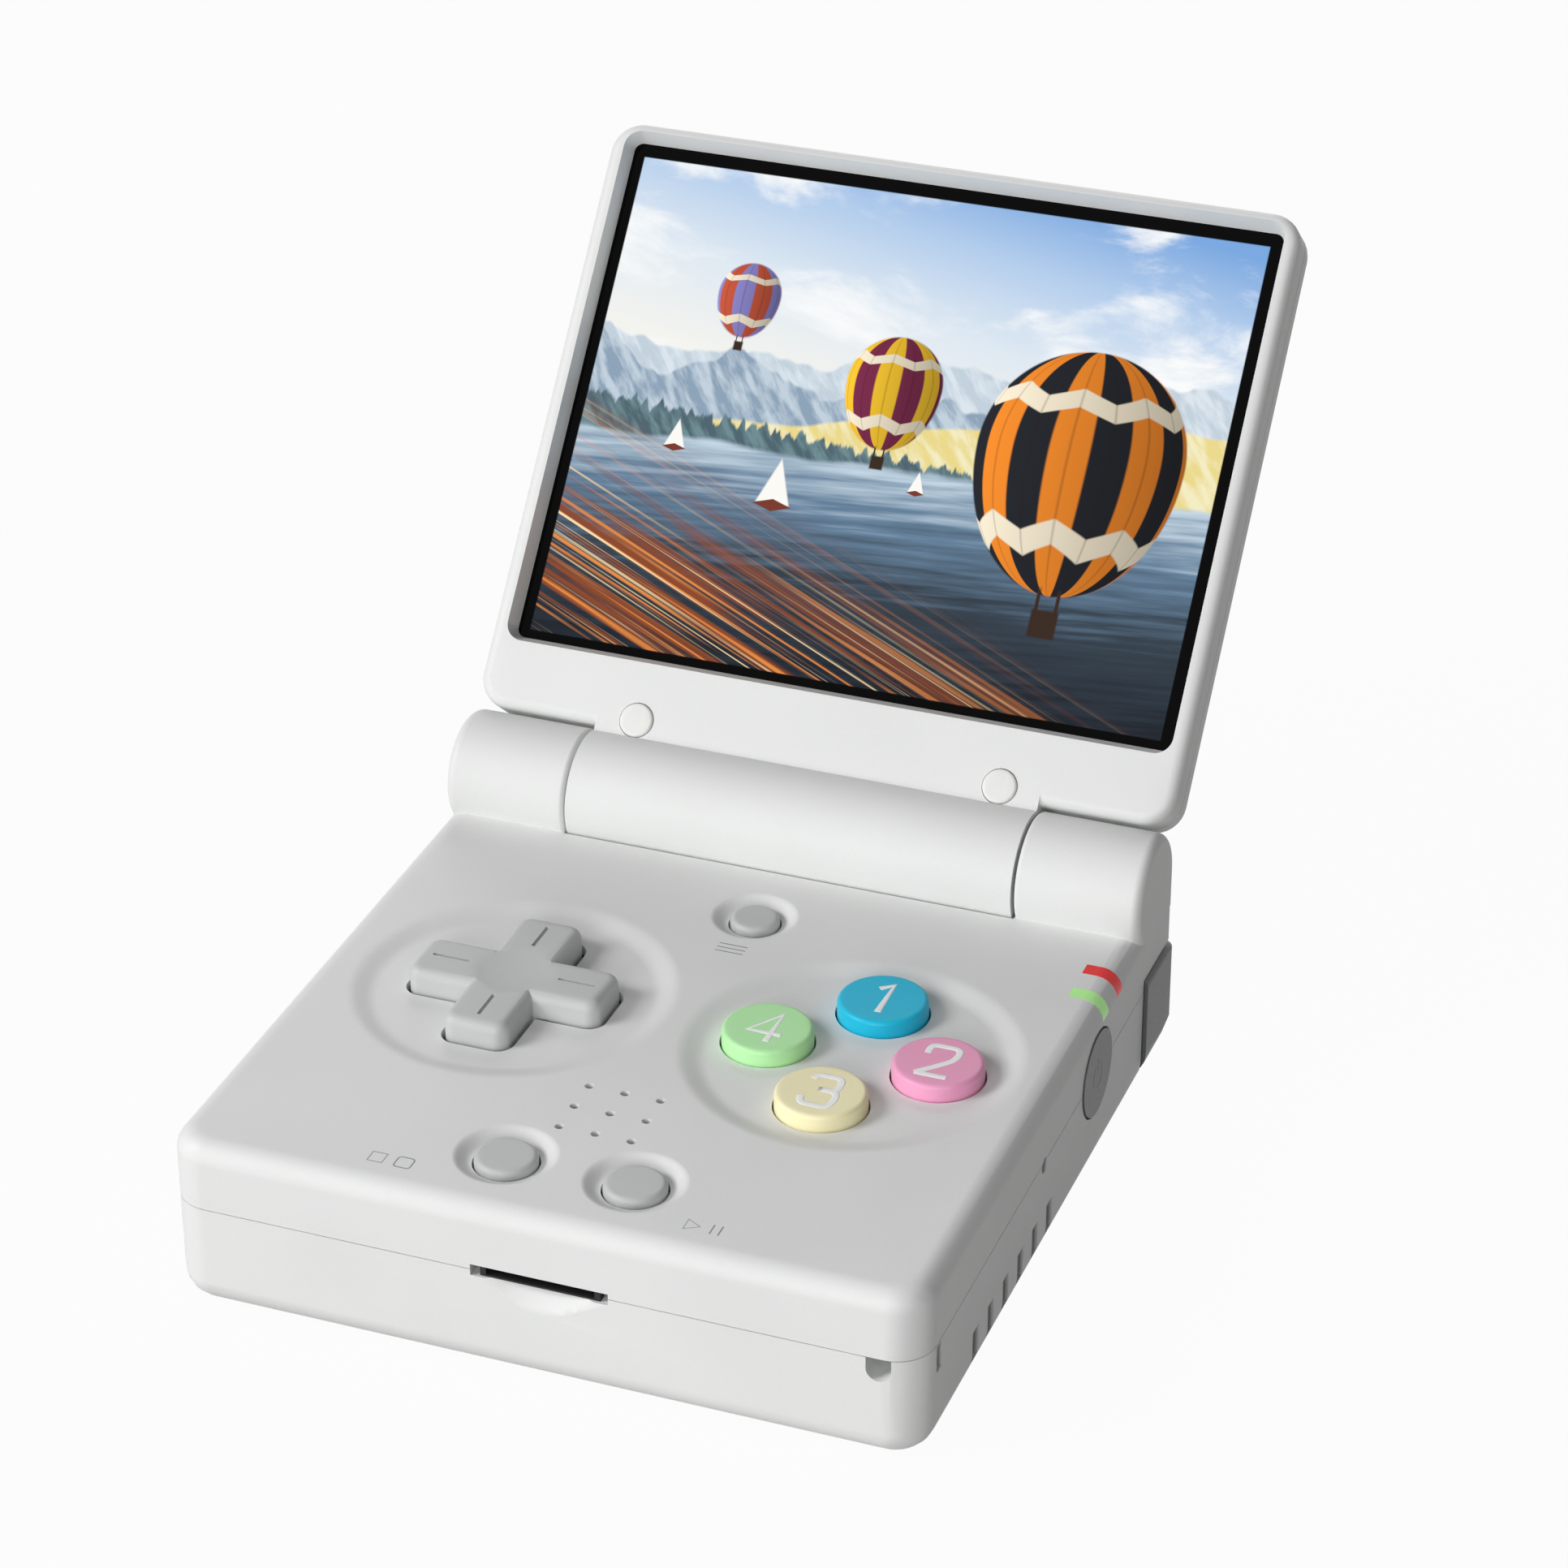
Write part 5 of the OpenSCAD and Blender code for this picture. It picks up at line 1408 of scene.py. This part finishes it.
@dataclass
class SmallFittings:
    """Gauze behind the openings, sprung contacts in the sockets and the charging tongue.

    Args:
        finishes: Where the materials come from.
        speaker: Centre of the speaker holes, on the gauze under the control face.
        speaker_wide: Width of that gauze.
        slot: Foot of the contacts in the card socket.
        vent_x: Distance of the vent gauze from the middle.
        vent_rows: First and last Y of the vents.
        vent_z: Lowest and highest Z of the vents.
        usb: Middle of the charging port, at the foot of its tongue.
        tongue: Width, length and thickness of that tongue.
        tongue_edge: How far its edges are softened.
        contact_in: Distance of the port's contacts from the foot of the tongue.
    """

    finishes: Finishes
    speaker: Place = (0.0, -20.6, 17.02)
    speaker_wide: float = 12.0
    slot: Place = (0.4, -34.4, 11.1)
    vent_x: float = 36.4
    vent_rows: Point = (-26.0, -0.2)
    vent_z: Point = (1.9, 6.0)
    usb: Place = (8.0, 33.9, 6.4)
    tongue: Place = (6.7, 4.7, 0.7)
    tongue_edge: float = 0.12
    contact_in: float = 1.0

    def build(self) -> None:
        """Build the gauzes and the contact rows."""
        gauze = gauze_tree()
        contacts = contact_tree()
        wire = {"Material": self.finishes.get(self.finishes.gauze)}
        gold = {"Material": self.finishes.get(self.finishes.gold)}
        y0, y1 = self.vent_rows
        z0, z1 = self.vent_z
        self.steel(grow("speaker_gauze", gauze, {
            "Width": self.speaker_wide, "Depth": self.speaker_wide, "Pitch": 0.4, "Wire": 0.12},
            {"Corner": 0.5} | wire, moved(self.speaker)))
        self.steel(grow("vent_gauze", gauze, {
            "Width": y1 - y0, "Depth": z1 - z0, "Pitch": 0.45, "Wire": 0.14},
            {"Corner": 1.0} | wire, stood(self.vent_x, (y0 + y1) / 2, (z0 + z1) / 2)))
        self.steel(grow("card_contacts", contacts, {
            "Pitch": 1.1, "Length": 5.0, "Width": 0.6, "Rise": 0.7, "Thick": 0.1},
            {"Count": 8} | gold, moved(self.slot)))
        self.charging_tongue()
        for name, side in (("usb_contacts_upper", 0.5), ("usb_contacts_lower", -0.5)):
            foot = Vector(self.usb) + Vector((0.0, self.contact_in, side * self.tongue[2]))
            self.steel(grow(name, contacts, {
                "Pitch": 0.5, "Length": 3.3, "Width": 0.26, "Rise": 0.0, "Thick": 0.06},
                {"Count": 12} | gold, moved(foot)))

    def steel(self, piece: bpy.types.Object) -> None:
        """Let a metal fitting ride on the base.

        Args:
            piece: The fitting.
        """
        seat(piece, "base")

    def charging_tongue(self) -> None:
        """Build the black tongue in the middle of the charging port, with softened edges."""
        shape = bmesh.new()
        middle = Vector(self.usb) + Vector((0.0, self.tongue[1] / 2, 0.0))
        bmesh.ops.create_cube(shape, size=1.0, matrix=Matrix.LocRotScale(
            middle * MM, None, Vector(self.tongue) * MM))
        bmesh.ops.bevel(shape, geom=shape.edges[:], offset=self.tongue_edge * MM, segments=2,
                        affect="EDGES")
        mesh = bpy.data.meshes.new("usb_tongue")
        shape.to_mesh(mesh)
        shape.free()
        mesh.materials.append(self.finishes.get(self.finishes.black_abs))
        seat(add_object("usb_tongue", mesh), "base")


# --------------------------------------------------------------------------- studio


@dataclass
class StudioCamera:
    """Camera at the product's showing angle.

    Args:
        place: Position in metres.
        azimuth_deg: Turn to the right of straight in front.
        elevation_deg: Angle above the table.
        roll_deg: Roll about the viewing axis.
        lens_mm: Focal length on the sensor.
        sensor_mm: Width of the sensor.
        clip: Nearest and farthest distance that it sees, in metres.
    """

    place: Place = (0.15585, -0.38411, 0.28184)
    azimuth_deg: float = 20.7428
    elevation_deg: float = 29.7629
    roll_deg: float = -0.1819
    lens_mm: float = 111.695
    sensor_mm: float = 36.0
    clip: Point = (0.01, 20.0)

    def build(self) -> None:
        """Create the camera and make it the scene's camera."""
        az, el, roll = (math.radians(a) for a in (
            self.azimuth_deg, self.elevation_deg, self.roll_deg))
        back = Vector((math.sin(az) * math.cos(el), -math.cos(az) * math.cos(el), math.sin(el)))
        right = Vector((math.cos(az), math.sin(az), 0.0))
        up = back.cross(right)
        side = right * math.cos(roll) + up * math.sin(roll)
        top = up * math.cos(roll) - right * math.sin(roll)
        turn = Matrix((side, top, back)).transposed().to_4x4()
        data = bpy.data.cameras.new("studio_camera")
        data.lens = self.lens_mm
        data.sensor_width = self.sensor_mm
        data.sensor_fit = "HORIZONTAL"
        data.clip_start, data.clip_end = self.clip
        camera = add_object("studio_camera", data)
        camera.matrix_world = Matrix.Translation(self.place) @ turn
        bpy.context.scene.camera = camera
        LOG.info("camera at %s", self.place)


@dataclass
class SoftLamp:
    """One square soft box that looks at the middle of the console.

    Args:
        name: Name of the lamp.
        towards: Direction from the console to the lamp.
        away: Distance in metres.
        side: Side of the box in metres.
        watts: Power.
        target: The place it looks at, in metres.
    """

    name: str
    towards: Place
    away: float
    side: float
    watts: float
    target: Place = (0.0, 0.01, 0.035)

    def build(self) -> None:
        """Create the lamp."""
        data = bpy.data.lights.new(self.name, "AREA")
        data.shape = "SQUARE"
        data.size = self.side
        data.energy = self.watts
        lamp = add_object(self.name, data)
        aim = Vector(self.towards).normalized()
        lamp.location = Vector(self.target) + aim * self.away
        lamp.rotation_euler = aim.to_track_quat("Z", "Y").to_euler()


@dataclass
class Studio:
    """Pale floor, soft boxes and an even pale surround.

    Args:
        floor_side: Side of the floor in metres.
        floor_z: Height of the floor, just under the feet of the console.
        floor_colour: Colour of the floor.
        fibres: Number of paper fibres in a metre, drawn coarse.
        lift: Share of plain white that the camera sees on the floor.
        surround: Strength of the even light from all round.
        lamps: The soft boxes.
    """

    floor_side: float = 6.0
    floor_z: float = -0.00005
    floor_colour: str = "#AAAAA8"
    fibres: float = 900.0
    lift: float = 0.96
    surround: float = 0.155
    lamps: tuple[SoftLamp, ...] = (
        SoftLamp("key_soft_box", (-0.42, -0.28, 0.34), 1.8, 0.68, 18.4),
        SoftLamp("front_soft_box", (0.0, -0.42, 0.1), 0.8, 0.4, 3.05),
        SoftLamp("back_soft_box", (-0.15, 0.9, 0.45), 1.0, 0.6, 3.0),
    )

    def build(self) -> None:
        """Create the floor, the surround and the lamps."""
        self.floor()
        self.world()
        for lamp in self.lamps:
            lamp.build()
        bpy.context.scene.view_settings.view_transform = "Standard"
        LOG.info("studio with %d lamps", len(self.lamps))

    def seen(self, tree: bpy.types.NodeTree) -> bpy.types.Node:
        """Give 1 for rays that show the background: camera, glossy and transmission.

        Args:
            tree: Node tree of the floor or the world.

        Returns:
            The mask.
        """
        ray = node(tree, "ShaderNodeLightPath").outputs
        both = node(tree, "ShaderNodeMath", {"operation": "MAXIMUM"}, {
            0: ray["Is Camera Ray"], 1: ray["Is Glossy Ray"]})
        return node(tree, "ShaderNodeMath", {"operation": "MAXIMUM"}, {
            0: both, 1: ray["Is Transmission Ray"]})

    def floor(self) -> None:
        """Create the pale floor, which stays white to the eye but keeps the shadow."""
        half = self.floor_side / 2
        mesh = bpy.data.meshes.new("studio_floor")
        mesh.from_pydata([(x * half, y * half, self.floor_z) for x, y in (
            (-1, -1), (1, -1), (1, 1), (-1, 1))], [], [(0, 1, 2, 3)])
        material, tree = new_material("studio_paper")
        place = node(tree, "ShaderNodeTexCoord").outputs["Object"]
        fibre = node(tree, "ShaderNodeTexNoise", None, {
            "Vector": place, "Scale": self.fibres, "Detail": 4.0})
        tint = node(tree, "ShaderNodeMix", STAIN, {
            "Factor": 0.03, 6: linear(self.floor_colour), 7: fibre.outputs["Color"]})
        paper = node(tree, "ShaderNodeBsdfPrincipled", None, {
            "Base Color": tint.outputs[2], "Roughness": 0.9, "Specular IOR Level": 0.1})
        white = node(tree, "ShaderNodeEmission", None, {"Color": WHITE, "Strength": 1.0})
        share = node(tree, "ShaderNodeMath", {"operation": "MULTIPLY"}, {
            0: self.seen(tree), 1: self.lift})
        mixed = node(tree, "ShaderNodeMixShader", None, {0: share, 1: paper, 2: white})
        node(tree, "ShaderNodeOutputMaterial", None, {"Surface": mixed})
        mesh.materials.append(material)
        add_object("studio_floor", mesh)

    def world(self) -> None:
        """Create the surround: even light, shown as white."""
        world = bpy.data.worlds.new("studio_surround")
        bpy.context.scene.world = world
        world.use_nodes = True
        tree = world.node_tree
        tree.nodes.clear()
        even, white = (node(tree, "ShaderNodeBackground", None, {"Color": WHITE, "Strength": power})
                       for power in (self.surround, 1.0))
        mixed = node(tree, "ShaderNodeMixShader", None, {0: self.seen(tree), 1: even, 2: white})
        node(tree, "ShaderNodeOutputWorld", None, {"Surface": mixed})


# --------------------------------------------------------------------------- main


def main() -> None:
    """Build the camera, the finishes, the pieces and the studio, in that order."""
    logging.basicConfig(level=logging.INFO, format="%(name)s: %(message)s")
    StudioCamera().build()
    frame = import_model()
    finishes = Finishes()
    Mouldings(frame["nodes"], finishes).dress()
    Lettering(finishes).build()
    SmallFittings(finishes).build()
    Studio().build()


if __name__ == "__main__":
    main()
